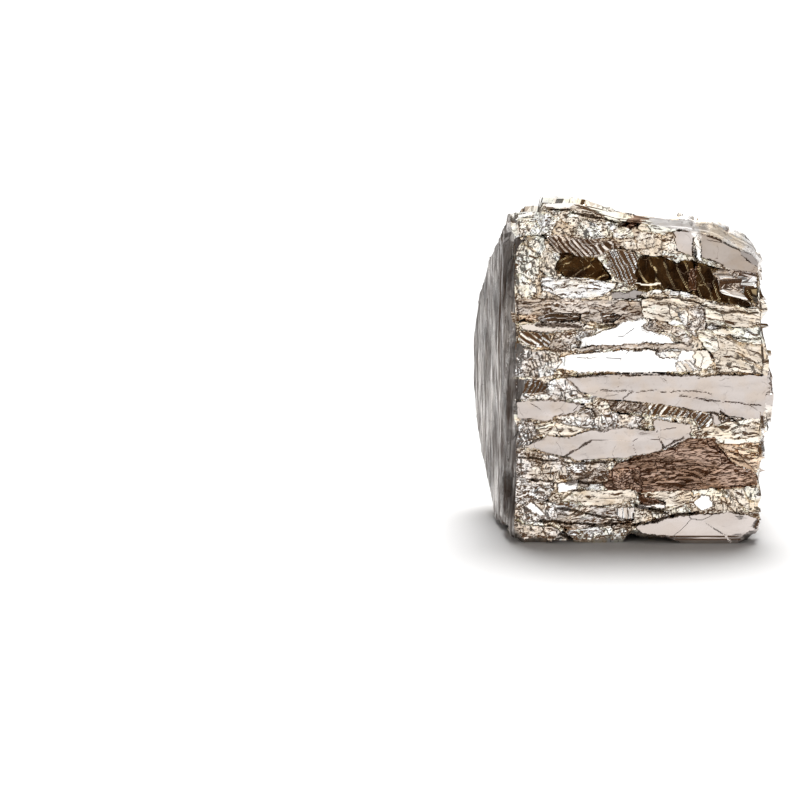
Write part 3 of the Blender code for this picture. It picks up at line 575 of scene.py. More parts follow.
@dataclass
class Cells:
    """The nearest of many scattered seeds for each point: which one, how far off, how near a rim.

    Attributes:
        i: first number of the seed.
        j: second number of the seed.
        da: distance from the seed along the first axis, in millimetres.
        db: distance from the seed along the second axis.
        rim: how much nearer this seed is than the next one, in cells.
    """

    i: np.ndarray
    j: np.ndarray
    da: np.ndarray
    db: np.ndarray
    rim: np.ndarray

    def pick(self, seed: int) -> np.ndarray:
        """A random number from -1 to 1 for each point's seed."""
        return hash01(self.i, self.j, seed) * 2 - 1


def cells(a: np.ndarray, b: np.ndarray, long: float, thick: float, seed: int) -> Cells:
    """Finds for each point the nearest of seeds scattered one to a box.

    Args:
        a: first coordinates, along the boxes.
        b: second coordinates, across the boxes.
        long: the boxes' length.
        thick: the boxes' thickness.
        seed: picks another scatter.

    Returns:
        The seeds found.
    """
    p, q = a / long, b / thick
    ci, cj = np.floor(p), np.floor(q)
    best = np.full(a.shape, 9.0)
    second = np.full(a.shape, 9.0)
    bi, bj = ci.copy(), cj.copy()
    du, dv = np.zeros(a.shape), np.zeros(a.shape)
    for oi in (-1, 0, 1):
        for oj in (-1, 0, 1):
            i, j = ci + oi, cj + oj
            u = p - (i + 0.1 + 0.8 * hash01(i, j, seed))
            v = q - (j + 0.1 + 0.8 * hash01(i, j, seed + 1))
            d = np.abs(u) * 0.6 + np.sqrt(u * u + v * v) * 0.7
            nearer = d < best
            second = np.where(nearer, best, np.minimum(second, d))
            best = np.where(nearer, d, best)
            bi, bj = np.where(nearer, i, bi), np.where(nearer, j, bj)
            du, dv = np.where(nearer, u, du), np.where(nearer, v, dv)
    return Cells(bi, bj, du * long, dv * thick, second - best)


def turned(a: np.ndarray, b: np.ndarray, degrees: float) -> tuple[np.ndarray, np.ndarray]:
    """The coordinates along and across a direction, in degrees from the first axis."""
    c, s = math.cos(math.radians(degrees)), math.sin(math.radians(degrees))
    return a * c + b * s, b * c - a * s


def inside(outline: tuple, x: np.ndarray, h: np.ndarray) -> np.ndarray:
    """Says for each point whether it lies inside a closed outline.

    Args:
        outline: the outline's corners.
        x: the points' first coordinates.
        h: their second coordinates.

    Returns:
        True for each point inside.
    """
    within = np.zeros(x.shape, dtype=bool)
    for (x0, h0), (x1, h1) in zip(outline, outline[1:] + outline[:1]):
        crosses = (h0 > h) != (h1 > h)
        with np.errstate(divide="ignore", invalid="ignore"):
            within ^= crosses & (x < (x1 - x0) * (h - h0) / (h1 - h0) + x0)
    return within


def facet(slope_up: np.ndarray | float, slope_side: np.ndarray | float, da: np.ndarray,
          db: np.ndarray) -> np.ndarray:
    """The height of tilted facets at some distance from their middles, leans in degrees."""
    return -(np.tan(np.radians(slope_up)) * db + np.tan(np.radians(slope_side)) * da)


@dataclass
class Fracture:
    """How a grain broke, point by point.

    Attributes:
        height: how far each point stands out, in millimetres.
        shade: how light or dark the metal is painted there, from -1 to 1: mostly random tone, with
            a painted highlight on stair risers.
        crevice_shade: how far down in a crevice it lies, from 0 to 1, which paints shade there.
    """

    height: np.ndarray
    shade: np.ndarray
    crevice_shade: np.ndarray


def break_mirror(grain: Grain, a: np.ndarray, b: np.ndarray, seed: int) -> Fracture:
    """One clean cleavage face, which bends a little from place to place.

    Args:
        grain: the grain.
        a: the points' coordinates along the columns.
        b: their coordinates across them.
        seed: picks other random numbers.

    Returns:
        How it broke.
    """
    along, across = turned(a, b, grain.turn)
    a0, b0 = np.array(grain.outline).mean(axis=0)
    wide = cells(along, across, 6.0, 2.6, seed)
    flat = facet(grain.up, grain.side, a - a0, b - b0)
    bend = facet(1.3 * wide.pick(seed + 2), 0.7 * wide.pick(seed + 3), wide.da, wide.db)
    height = grain.out + flat + bend + 0.012 * noise(along * 0.7, across * 1.2, seed + 4)
    shade = 0.25 * noise(along * 0.5, across * 0.9, seed + 18)
    return Fracture(height, shade, np.zeros_like(a))


def break_layers(grain: Grain, a: np.ndarray, b: np.ndarray, seed: int) -> Fracture:
    """A stair of cleavage layers: flat treads, and narrow risers that face up.

    Args:
        grain: the grain.
        a: the points' coordinates along the columns.
        b: their coordinates across them.
        seed: picks other random numbers.

    Returns:
        How it broke.
    """
    along, across = turned(a, b, grain.turn)
    a0, b0 = np.array(grain.outline).mean(axis=0)
    size = grain.size
    hollow = grain.style is Style.HOLLOW
    bend = noise(along * 0.35, across * 0.5, seed) * 0.35 + 0.07 * noise(
        along * 1.5, across * 1.5, seed + 1)
    runs = cells(along, across + bend, size * (2.5 if hollow else 6), size * 1.5, seed + 4)
    middle = turned(a0, b0, grain.turn)[1]
    step = (across - middle + bend + runs.pick(seed + 5) * size * 0.3) / size
    share = step - np.floor(step)
    jitter = hash01(np.floor(step), runs.i, seed + 6) * 2 - 1
    # The riser's usual share of a step.
    usual = 0.08 if hollow else 0.32
    drop = math.tan(math.radians(grain.tilt)) * usual * size
    width = usual * (1 + (0.5 * runs.pick(seed + 7) if hollow else 0.75 * jitter))
    stair = -drop * (np.floor(step) + np.clip(share / width, 0, 1))
    # Painted shade: a dark line along the edge of each step.
    edge = np.exp(-((share - 1) / 0.10) ** 2) * (0.3 + 0.5 * jitter)
    height = grain.out + facet(grain.up, grain.side, a - a0, b - b0) + stair
    # Painted highlight: the risers, which face up to the lights, are lighter than the treads.
    shade = np.where(share < width, 0.6, 0.7 * jitter - 0.2)
    if hollow:
        blotch = noise(along * 0.9, across * 1.6, seed + 9) + 0.7 * noise(
            along * 2.6, across * 4.0, seed + 10)
        # The thin risers get a strong painted highlight; the rest is mottled with random black.
        shade = np.where(share < width, 2.0, 0.6 * jitter - 2.2 * np.clip(blotch, 0, 1))
    return Fracture(height, shade, np.clip(edge, 0, 1))


@dataclass
class Roofs:
    """The upper envelope of many small tilted roofs: each point lies on the highest one.

    Attributes:
        height: the envelope's height, in millimetres.
        i: first number of the highest roof.
        j: its second number.
        rise: how far it stands over the next one, in millimetres.
    """

    height: np.ndarray
    i: np.ndarray
    j: np.ndarray
    rise: np.ndarray

    def pick(self, seed: int) -> np.ndarray:
        """A random number from -1 to 1 for each point's roof."""
        return hash01(self.i, self.j, seed) * 2 - 1


def roofs(a: np.ndarray, b: np.ndarray, long: float, thick: float, slopes: tuple,
          seed: int) -> Roofs:
    """Covers the surface with small roofs, one to a box, whose ridges run along the boxes.

    Args:
        a: first coordinates, along the boxes.
        b: second coordinates, across the boxes.
        long: the boxes' length.
        thick: the boxes' thickness.
        slopes: usual slopes in degrees: above the ridge, below it and towards its ends.
        seed: picks another scatter.

    Returns:
        The roofs.
    """
    ci, cj = np.floor(a / long), np.floor(b / thick)
    best = np.full(a.shape, -9.0)
    second = np.full(a.shape, -9.0)
    bi, bj = ci.copy(), cj.copy()
    above, below, ends = (math.tan(math.radians(slope)) for slope in slopes)
    for oi in (-1, 0, 1):
        for oj in (-1, 0, 1):
            i, j = ci + oi, cj + oj
            u = a - (i + 0.1 + 0.8 * hash01(i, j, seed)) * long
            v = b - (j + 0.1 + 0.8 * hash01(i, j, seed + 1)) * thick
            v = v + u * 0.12 * (hash01(i, j, seed + 5) * 2 - 1)
            fall = np.where(v > 0, above * v * (0.6 + 0.8 * hash01(i, j, seed + 2)),
                            -below * v * (0.6 + 0.8 * hash01(i, j, seed + 3)))
            z = 0.12 * thick * hash01(i, j, seed + 4) - fall - ends * np.abs(u)
            higher = z > best
            second = np.where(higher, best, np.maximum(second, z))
            best = np.where(higher, z, best)
            bi, bj = np.where(higher, i, bi), np.where(higher, j, bj)
    return Roofs(best, bi, bj, best - second)


def break_shards(grain: Grain, a: np.ndarray, b: np.ndarray, seed: int) -> Fracture:
    """Torn shards, long for fibres and short for crumbs: bright above, dark underneath.

    Args:
        grain: the grain.
        a: the points' coordinates along the columns.
        b: their coordinates across them.
        seed: picks other random numbers.

    Returns:
        How it broke.
    """
    along, across = turned(a, b, grain.turn)
    a0, b0 = np.array(grain.outline).mean(axis=0)
    size, tilt, bright = 0.9 * grain.size, grain.tilt, grain.bright
    fibres = grain.style is Style.FIBRES
    # How much longer than thick a shard is.
    ratio = 8.0 if fibres else 2.6
    bend = 0.35 * noise(along * 0.45, across * 0.7, seed) + 0.10 * noise(
        along * 1.9, across * 1.9, seed + 3)
    patch = cells(along, across + bend, size * ratio * 2.0, size * 4.5, seed + 21)
    mood = 6 * (1.4 - bright) * patch.pick(seed + 23)
    above, below, ends = (1 - bright) * tilt, bright * tilt, 2.0 if fibres else 6.0
    shard = roofs(along, across + bend, size * ratio, size, (above, below, ends), seed + 7)
    fine_a, fine_b = turned(a, b, grain.turn if grain.hatch is None else grain.hatch)
    thread = roofs(fine_a, fine_b + 0.6 * bend, size * ratio * 0.40, size * 0.45,
                   (0.7 * above, 0.7 * below, ends), seed + 8)
    flat = facet(grain.up, grain.side, a - a0, b - b0)
    # The whole patch leans so that the wanted share of its facets mirrors the lights.
    rest = TURN_BRIGHT + (bright - 0.5) * (tilt + 9) - grain.up
    swing = facet(rest + mood, 4 * patch.pick(seed + 24), patch.da, patch.db)
    height = grain.out + flat + swing + shard.height + thread.height
    # Painted shade: dark lines in some of the valleys between the shards.
    gap = np.exp(-(shard.rise / (0.03 * size)) ** 2) * np.clip(
        1.6 * shard.pick(seed + 15) - 0.6, 0, 1)
    shade = (0.5 * shard.pick(seed + 19) + 0.3 * thread.pick(seed + 20)
             + 0.8 * patch.pick(seed + 25)) * (1.4 - bright)
    return Fracture(height, shade, gap)


BREAKS = {
    Style.MIRROR: break_mirror, Style.BRIGHT: break_mirror, Style.FROSTED: break_mirror,
    Style.LAYERS: break_layers, Style.HOLLOW: break_layers,
    Style.FIBRES: break_shards, Style.CRUMBS: break_shards,
}


def line_distance(line: tuple, x: np.ndarray, h: np.ndarray) -> np.ndarray:
    """The distance from each point to the nearest part of a line.

    Args:
        line: the line's points.
        x: the points' first coordinates.
        h: their second coordinates.

    Returns:
        The distances.
    """
    nearest = np.full(x.shape, 99.0)
    for (x0, h0), (x1, h1) in zip(line, line[1:]):
        run_x, run_h = x1 - x0, h1 - h0
        share = np.clip(((x - x0) * run_x + (h - h0) * run_h) / (run_x ** 2 + run_h ** 2), 0, 1)
        nearest = np.minimum(nearest, np.hypot(x - x0 - share * run_x, h - h0 - share * run_h))
    return nearest


@dataclass
class Relief:
    """The dense surface, point by point, before it is thinned out.

    Attributes:
        base: points of the smooth form.
        out: outward direction at each point.
        chart: number of each point's chart.
        a: first coordinate in the chart.
        b: second coordinate in the chart.
        faces: corners of the four-sided faces.
        ring: how many points go round the lump; the wall is rings of them, one after another.
        height: how far the detail stands out at each point.
        tint: colour there, with painted highlights on stair risers and painted shade under the
            front's ragged foot.
        crevice_shade: how far down in a crevice, crack, seam or groove it lies, from 0 to 1, which
            paints shade there.
        style: number of its finish.
        hatch: direction of its finest lines, in degrees from the columns.
        grain: seed of its grain, which sets its finest lines apart from the next one's.
    """

    base: np.ndarray
    out: np.ndarray
    chart: np.ndarray
    a: np.ndarray
    b: np.ndarray
    faces: np.ndarray
    ring: int
    height: np.ndarray = field(init=False)
    tint: np.ndarray = field(init=False)
    crevice_shade: np.ndarray = field(init=False)
    style: np.ndarray = field(init=False)
    hatch: np.ndarray = field(init=False)
    grain: np.ndarray = field(init=False)

    def __post_init__(self) -> None:
        """Starts with a bare surface."""
        count = len(self.base)
        self.height = np.zeros(count)
        self.tint = np.full((count, 3), 0.5)
        self.crevice_shade = np.zeros(count)
        self.style = np.zeros(count, dtype=int)
        self.hatch = np.zeros(count)
        self.grain = np.zeros(count)

    def breach(self, where: np.ndarray, grain: Grain, a: np.ndarray, b: np.ndarray,
               seed: int) -> None:
        """Breaks some of the surface as one grain: its height, colour and direction.

        Args:
            where: the points' numbers.
            grain: the grain.
            a: the points' coordinates along the columns.
            b: their coordinates across them.
            seed: picks other random numbers.
        """
        broken = BREAKS[grain.style](grain, a, b, seed)
        self.height[where] = broken.height
        self.crevice_shade[where] = broken.crevice_shade
        # The shade scales the tint: random tone, browner where darker, and a painted highlight on
        # stair risers.
        light = np.clip(1 + 0.36 * broken.shade, 0.15, 1.5)[:, None]
        warm = np.array((1.0, 0.90, 0.80)) ** np.clip(-broken.shade, 0, 2)[:, None]
        self.tint[where] = np.clip(np.array(grain.tint.value) * light * warm, 0, 0.97)
        self.style[where] = grain.style.value
        self.hatch[where] = grain.turn if grain.hatch is None else grain.hatch
        self.grain[where] = seed

    def breach_by_draw(self, where: np.ndarray, draw: np.ndarray, kinds: tuple, a: np.ndarray,
                       b: np.ndarray, seed: int) -> None:
        """Breaks each point as the last kind whose threshold its draw reaches.

        Args:
            where: the points' numbers.
            draw: each point's draw, from -1 to 1.
            kinds: the kinds, as (threshold, grain).
            a: the points' coordinates along the columns.
            b: their coordinates across them.
            seed: the first kind's seed.
        """
        for number, (threshold, grain) in enumerate(kinds):
            mask = draw >= threshold
            self.breach(where[mask], grain, a[mask], b[mask], seed + SEED_STEP * number)


@dataclass
class LumpForm:
    """The smooth form that follows the lump's outline: a wall round the columns and two ends.

    Attributes:
        front_pitch: distance between the front's points, up the front.
        wall_pitch: distance between the other points round the wall.
        along_pitch: distance between the wall's points along the columns.
        end_pitch: distance between an end's rings of points.
        edge_round: how far from an edge the directions turn, in millimetres.
        inner_setback: how far the inner end's rim lies from the front's width.
        inner_swell: how far its middle height swells out.
    """

    front_pitch: float = 0.08
    wall_pitch: float = 0.15
    along_pitch: float = 0.09
    end_pitch: float = 0.14
    edge_round: float = 0.6
    inner_setback: float = 1.0
    inner_swell: float = 0.8

    def build(self) -> Relief:
        """Makes the form's points, directions and faces.

        Returns:
            The surface without any relief.
        """
        skin, inner, front = self.rings()
        count = len(skin)
        steps = int(FRONT_WIDTH / self.along_pitch)
        shares = np.linspace(0, 1, steps + 1)
        start = self.skin_points(skin)
        end = self.inner_points(inner)
        wall = start[None] * (1 - shares[:, None, None]) + end[None] * shares[:, None, None]
        self.raise_crest(wall, front)
        out = self.wall_directions(wall)
        length = shares * FRONT_WIDTH
        for end_out, distance in ((SKIN_OUT, length), (INNER_OUT, FRONT_WIDTH - length)):
            share = np.clip(distance / self.edge_round, 0, 1)[:, None, None]
            out = out * np.sin((0.5 + 0.5 * share) * math.pi / 2) + end_out * np.cos(
                (0.5 + 0.5 * share) * math.pi / 2)
        out /= np.linalg.norm(out, axis=2, keepdims=True)
        arc = np.concatenate(([0], np.cumsum(np.linalg.norm(np.diff(start, axis=0), axis=1))))
        h = wall[..., 1] * math.sin(FRONT_LEAN) + wall[..., 2] * math.cos(FRONT_LEAN)
        is_front = np.broadcast_to(front, wall.shape[:2])
        wall_b = np.where(is_front, h, np.broadcast_to(arc, wall.shape[:2]))
        parts = [(wall.reshape(-1, 3), out.reshape(-1, 3),
                  np.where(is_front, Chart.FRONT.value, Chart.WALL.value).ravel(),
                  wall[..., 0].ravel(), wall_b.ravel())]
        ring = np.arange(count)
        following = (ring + 1) % count
        faces = [np.stack((ring + k * count, ring + (k + 1) * count,
                           following + (k + 1) * count, following + k * count), axis=1)
                 for k in range(steps)]
        base_index = (steps + 1) * count
        for chart, rim_points, end_out, first, flip in (
                (Chart.SKIN, start, SKIN_OUT, 0, False),
                (Chart.INNER, end, INNER_OUT, steps * count, True)):
            points, outs, quads = self.end_cap(rim_points, out.reshape(-1, 3)[first:first + count],
                                               end_out, first, base_index, flip)
            parts.append((points, outs, np.full(len(points), chart.value), points[:, 1],
                          points[:, 2]))
            faces.append(quads)
            base_index += len(points)
        return Relief(*(np.concatenate([part[k] for part in parts]) for k in range(5)),
                      np.concatenate(faces), count)

    def rings(self) -> tuple[np.ndarray, np.ndarray, np.ndarray]:
        """Samples both outlines alike.

        Returns:
            The skin's outline, the inner end's outline, and which of their points are front.
        """
        skin, inner, front = [], [], []
        for i in range(len(SKIN_OUTLINE)):
            j = (i + 1) % len(SKIN_OUTLINE)
            is_front = i < FRONT_SEGMENTS
            pitch = self.front_pitch if is_front else self.wall_pitch
            length = max(np.linalg.norm(SKIN_OUTLINE[j] - SKIN_OUTLINE[i]),
                         np.linalg.norm(INNER_OUTLINE[j] - INNER_OUTLINE[i]))
            for share in np.linspace(0, 1, max(2, int(length / pitch)), endpoint=False):
                skin.append(SKIN_OUTLINE[i] * (1 - share) + SKIN_OUTLINE[j] * share)
                inner.append(INNER_OUTLINE[i] * (1 - share) + INNER_OUTLINE[j] * share)
                front.append(is_front)
        return np.array(skin), np.array(inner), np.array(front)

    @staticmethod
    def raise_crest(wall: np.ndarray, front: np.ndarray) -> None:
        """Moves the wall's upper front edge to the crest, and less the further from it.

        Args:
            wall: the wall's points, which it changes.
            front: which of the points round the wall are the front.
        """
        edge = int(np.flatnonzero(front)[-1])
        goal = np.interp(wall[:, edge, 0], CREST[:, 0], CREST[:, 1] * math.cos(FRONT_LEAN))
        lift = goal - wall[:, edge, 2]
        share = np.zeros(wall.shape[1])
        share[:edge + 1] = np.linspace(0, 1, edge + 1) ** 2
        reach = (len(front) - edge) // 4
        share[edge:edge + reach] = np.linspace(1, 0, reach)
        wall[..., 2] += lift[:, None] * share[None]

    @staticmethod
    def skin_points(outline: np.ndarray) -> np.ndarray:
        """Puts an outline on the mould skin."""
        return np.column_stack((-SKIN_SPREAD * outline[:, 0], outline))

    def inner_points(self, outline: np.ndarray) -> np.ndarray:
        """Puts an outline on the inner end."""
        swell = self.inner_swell * np.sin(np.pi * np.clip(outline[:, 1] / FRONT_HEIGHT, 0, 1))
        return np.column_stack((FRONT_WIDTH - self.inner_setback + swell, outline))

    def wall_directions(self, wall: np.ndarray) -> np.ndarray:
        """Gives the wall's outward directions, rounded off over the form's long edges.

        Args:
            wall: the wall's points.

        Returns:
            A direction for each of them.
        """
        along = wall[-1] - wall[0]
        around = np.roll(wall, -1, axis=1) - np.roll(wall, 1, axis=1)
        out = np.cross(along[None], around)
        out /= np.linalg.norm(out, axis=2, keepdims=True)
        step = np.linalg.norm(around, axis=2)[0] / 2
        place = np.cumsum(step)
        total = place[-1]
        smooth = np.zeros_like(out)
        for shift in np.linspace(-1, 1, 13):
            target = (place + shift * self.edge_round) % total
            index = np.searchsorted(place, target) % len(place)
            smooth += out[:, index]
        return smooth / np.linalg.norm(smooth, axis=2, keepdims=True)

    def end_cap(self, rim: np.ndarray, rim_out: np.ndarray, end_out: np.ndarray, first: int,
                start: int, flip: bool) -> tuple[np.ndarray, np.ndarray, np.ndarray]:
        """Fills an end with rings that shrink to its middle.

        Args:
            rim: points of the end's rim.
            rim_out: outward directions there.
            end_out: outward direction of the end.
            first: number of the rim's first point.
            start: number that the first new point gets.
            flip: turns the faces round.

        Returns:
            The new points, their directions and the faces.
        """
        middle = rim.mean(axis=0)
        reach = np.linalg.norm(rim - middle, axis=1).mean()
        rings = int(reach / self.end_pitch)
        count = len(rim)
        points, outs, quads = [], [], []
        before = np.arange(first, first + count)
        for k in range(1, rings):
            share = 1 - k / rings
            points.append(middle + (rim - middle) * share)
            mix = np.clip((1 - share) * reach / self.edge_round, 0, 1)
            out = rim_out * (1 - mix) + end_out * mix
            outs.append(out / np.linalg.norm(out, axis=1, keepdims=True))
            now = start + (k - 1) * count + np.arange(count)
            quads.append(np.stack((before, np.roll(before, -1), np.roll(now, -1), now), axis=1))
            before = now
        points.append(middle[None])
        outs.append(end_out[None])
        tip = np.full(count, start + (rings - 1) * count)
        quads.append(np.stack((before, np.roll(before, -1), tip, tip), axis=1))
        quads = np.concatenate(quads)
        if flip:
            quads = quads[:, [1, 0, 3, 2]]
        return np.concatenate(points), np.concatenate(outs), quads


@dataclass
class FractureMesh:
    """The lump's fine mesh, which stands for the CAD lump. Lengths are in millimetres.

    Attributes:
        name: the mesh's name.
        triangles: how many triangles it keeps.
        front_triangles: how many of them are left for the front.
        reach: how far outside the form the search for the CAD lump starts.
        search: how far it goes, as a multiple of the reach.
        ragged: how far the points stray sideways, which makes the edges ragged.
        even_points: how many points to each side the depths near the ends are evened out over.
        end_band: how wide the evened out band along each end is.
        seam_width: width of the open seams between the front's grains.
        seam_depth: their depth.
        foot_zone: how far up the front its ragged foot goes.
        undercut: how far the front draws back under its ragged edge.
        top_edge_x: where the worn part of the front's upper edge starts.
        top_edge_h: how high up the front that edge is looked for.
        column_size: usual length and thickness of the seeded columns.
        tile_size: usual length and thickness of the inner end's tiles.
        tile_step: how far a tile lies in or out.
        fibre_size: length and thickness of the skin's fibres.
        fibre_slopes: their slopes in degrees, as roofs takes them.
        thread_size: length and thickness of the threads on the fibres.
        thread_slopes: their slopes in degrees.
        lip: how far back of the front edge the skin's groove lies.
        groove_width: the groove's width.
        groove_depth: its depth.
        map_middle: the middle (y, z) of the map's turn round the lump.
        map_radius: its radius, which makes an angle a length.
        map_size: width of the flat map.
        form: the smooth form under the relief.
    """

    name: str = "lump_relief"
    triangles: int = 196000
    front_triangles: int = 112000
    reach: float = 3.5
    search: float = 2.2
    ragged: float = 0.10
    even_points: int = 14
    end_band: float = 1.6
    seam_width: float = 0.06
    seam_depth: float = 0.18
    foot_zone: float = 3.0
    undercut: float = 0.9
    top_edge_x: float = 13.5
    top_edge_h: float = 25.0
    column_size: tuple = (9.0, 1.9)
    tile_size: tuple = (3.1, 1.9)
    tile_step: float = 0.18
    fibre_size: tuple = (7.0, 0.8)
    fibre_slopes: tuple = (12, 12, 2)
    thread_size: tuple = (2.2, 0.36)
    thread_slopes: tuple = (18, 18, 4)
    lip: float = 6.3
    groove_width: float = 0.5
    groove_depth: float = 0.3
    map_middle: tuple = (7.0, 15.0)
    map_radius: float = 11.5
    map_size: float = 108.0
    form: LumpForm = field(default_factory=LumpForm)

    def build(self) -> bpy.types.Object:
        """Makes the mesh object.

        Returns:
            The object, in the frame, without materials.
        """
        relief = self.form.build()
        log.info("form: %d points, %d faces", len(relief.base), len(relief.faces))
        surface = self.drop_on_cad(relief)
        self.add_detail(relief, surface)
        points = surface + relief.out * relief.height[:, None]
        points[:, 2] = np.maximum(points[:, 2], FOOT_LEVEL)
        low, high = (np.array(corner) / MM - ORIGIN_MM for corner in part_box(NODE))
        points = np.clip(points, low, high)
        mesh = self.thinned(points, relief)
        self.paint(mesh, points, relief)
        obj = bpy.data.objects.new(self.name, mesh)
        bpy.context.scene.collection.objects.link(obj)
        return obj

    def drop_on_cad(self, relief: Relief) -> np.ndarray:
        """Finds where each point's line meets the CAD lump.

        Args:
            relief: the surface to drop.

        Returns:
            The points on the CAD lump, shifted a little sideways so that its edges are ragged.
        """
        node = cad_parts[NODE]
        verts = [tuple(np.array(v.co) / MM - ORIGIN_MM) for v in node.data.vertices]
        tree = BVHTree.FromPolygons(verts, [tuple(p.vertices) for p in node.data.polygons])
        base, out = relief.base, relief.out
        wander = np.stack([
            noise(base[:, (k + 1) % 3] * 1.3 + base[:, k] * 0.9, base[:, (k + 2) % 3] * 1.3, 31 + k)
            + 0.6 * noise(base[:, (k + 1) % 3] * 4.1 + base[:, k] * 3.1,
                          base[:, (k + 2) % 3] * 4.3, 41 + k)
            for k in range(3)], axis=1) * self.ragged
        wander -= out * np.sum(wander * out, axis=1, keepdims=True)
        starts = base + wander + out * self.reach
        depth = np.full(len(base), np.nan)
        for index, (start, direction) in enumerate(zip(starts.tolist(), (-out).tolist())):
            place, _, _, distance = tree.ray_cast(Vector(start), Vector(direction),
                                                  self.search * self.reach)
            if place is not None:
                depth[index] = self.reach - distance
        missed = np.isnan(depth)
        log.info("lines that miss the CAD lump: %d", int(missed.sum()))
        depth = self.fill_gaps(depth, relief.faces)
        depth = self.even_out_ends(depth, relief)
        return base + out * depth[:, None]

    def even_out_ends(self, depth: np.ndarray, relief: Relief) -> np.ndarray:
        """Evens out the depths round both ends, where the CAD columns end in steps.

        Args:
            depth: each point's depth.
            relief: the surface.

        Returns:
            The depths, evened out near the ends.
        """
        rings = (len(depth) - 2) // relief.ring
        grid = depth[:rings * relief.ring].reshape(rings, relief.ring)
        reach = self.even_points
        kernel = np.hanning(2 * reach + 3)[1:-1]
        kernel /= kernel.sum()
        even = sum(weight * np.roll(grid, shift, axis=1)
                   for weight, shift in zip(kernel, range(-reach, reach + 1)))
        wall = int(FRONT_WIDTH / self.form.along_pitch) + 1
        padded = np.pad(even[:wall], ((reach, reach), (0, 0)), mode="edge")
        even[:wall] = sum(weight * padded[shift:shift + wall]
                          for weight, shift in zip(kernel, range(2 * reach + 1)))
        x = relief.base[:wall * relief.ring, 0].reshape(wall, relief.ring)
        facing = (relief.out[:wall * relief.ring] @ FRONT_OUT).reshape(wall, relief.ring)
        share = np.ones((rings, relief.ring))
        from_end = np.minimum(x + 0.5, FRONT_WIDTH - x)
        share[:wall] = np.clip(1.6 - from_end / self.end_band, 0, 1)
        share[:wall] = np.maximum(share[:wall], (facing > 0.25).astype(float))
        result = depth.copy()
        result[:rings * relief.ring] = (grid * (1 - share) + even * share).ravel()
        return result

    @staticmethod
    def fill_gaps(values: np.ndarray, faces: np.ndarray) -> np.ndarray:
        """Fills missing values from the neighbours, round by round.

        Args:
            values: the points' values.
            faces: the faces between the points.

        Returns:
            The values without gaps.
        """
        values = values.copy()
        most_rounds = 200
        for _ in range(most_rounds):
            missing = np.isnan(values)
            if not missing.any():
                break
            total, count = np.zeros(len(values)), np.zeros(len(values))
            for k in range(4):
                for other in (faces[:, (k + 1) % 4], faces[:, (k + 3) % 4]):
                    near = values[other]
                    known = ~np.isnan(near) & missing[faces[:, k]]
                    np.add.at(total, faces[known, k], near[known])
                    np.add.at(count, faces[known, k], 1)
            found = missing & (count > 0)
            values[found] = total[found] / count[found]
        return np.nan_to_num(values)

    def add_detail(self, relief: Relief, surface: np.ndarray) -> None:
        """Adds every chart's relief, colours and directions to the surface.

        Args:
            relief: the dense surface, which it changes.
            surface: its points on the CAD lump.
        """
        self.detail_front(relief, surface)
        self.detail_columns(relief)
        self.detail_inner(relief)
        self.detail_skin(relief)

    def detail_front(self, relief: Relief, surface: np.ndarray) -> None:
        """The front fracture, grain by grain. Near its rim the CAD surface holds.

        Args:
            relief: the dense surface, which it changes.
            surface: its points on the CAD lump.
        """
        where = np.flatnonzero(relief.chart == Chart.FRONT.value)
        a, b = relief.a[where], relief.b[where]
        x = a + 0.16 * noise(a * 0.9, b * 2.2, 5) + 0.07 * noise(a * 3.1, b * 4.7, 6)
        h = b + 0.12 * noise(a * 0.9, b * 1.6, 7) + 0.06 * noise(a * 4.3, b * 5.1, 8)
        relief.breach(where, REST_OF_FRONT, a, b, SEED_REST)
        seam = np.full(len(where), 9.0)
        for number, grain in enumerate(FRONT_GRAINS.values()):
            mask = inside(grain.outline, x, h)
            relief.breach(where[mask], grain, a[mask], b[mask], SEED_FRONT + SEED_STEP * number)
            seam[mask] = line_distance(grain.outline + grain.outline[:1], x[mask], h[mask])
        # The seams between the grains and the cracks are cut in and painted dark as shade.
        open_seam = np.clip(1.4 * noise(a * 0.8, b * 1.7, 9) + 0.35, 0, 1)
        gap = open_seam * np.exp(-(seam / self.seam_width) ** 2)
        depth = self.seam_depth * gap
        for number, crack in enumerate(FRONT_CRACKS.values()):
            swell = 0.75 + 0.5 * noise(a * 1.3, b * 1.3, 20 + number)
            near = np.exp(-(line_distance(crack.line, x, h) / (crack.width * swell)) ** 2)
            depth = np.maximum(depth, crack.depth * near)
            gap = np.maximum(gap, near)
        relief.crevice_shade[where] = np.maximum(relief.crevice_shade[where], gap)
        facing = relief.out[where] @ FRONT_OUT
        # How far the grains' own height counts: not where the surface turns off the front.
        own = np.where(b < self.foot_zone, np.clip((facing - 0.6) / 0.2, 0, 1),
                       np.clip((facing - 0.97) / 0.025, 0, 1))
        own *= np.clip((a - 0.2) / 0.4, 0, 1)
        top_edge = where[(facing < 0.985) & (b > self.top_edge_h) & (a > self.top_edge_x)]
        relief.tint[top_edge] = Tint.WHITE.value
        relief.style[top_edge] = Style.FROSTED.value
        relief.crevice_shade[top_edge] = 0
        below = np.clip(np.interp(x, *FOOT_EDGE.T) - h, 0, 0.9)
        depth = depth + self.undercut * below
        # Painted shade: the front is darker where it draws back under its ragged foot.
        relief.tint[where] *= np.clip(1 - 1.5 * below, 0.3, 1)[:, None]
        height = relief.height[where] - depth
        relief.height[where] = (height - surface[where] @ FRONT_OUT) * own

    def detail_columns(self, relief: Relief) -> None:
        """The top, back and foot: long columns, each broken in its own style.

        Args:
            relief: the dense surface, which it changes.
        """
        where = np.flatnonzero(relief.chart == Chart.WALL.value)
        a, b = relief.a[where], relief.b[where]
        column = cells(a, b + 0.2 * noise(a * 0.5, b, 61), *self.column_size, 62)
        relief.breach_by_draw(where, column.pick(63), COLUMN_KINDS, a, b, SEED_COLUMNS)
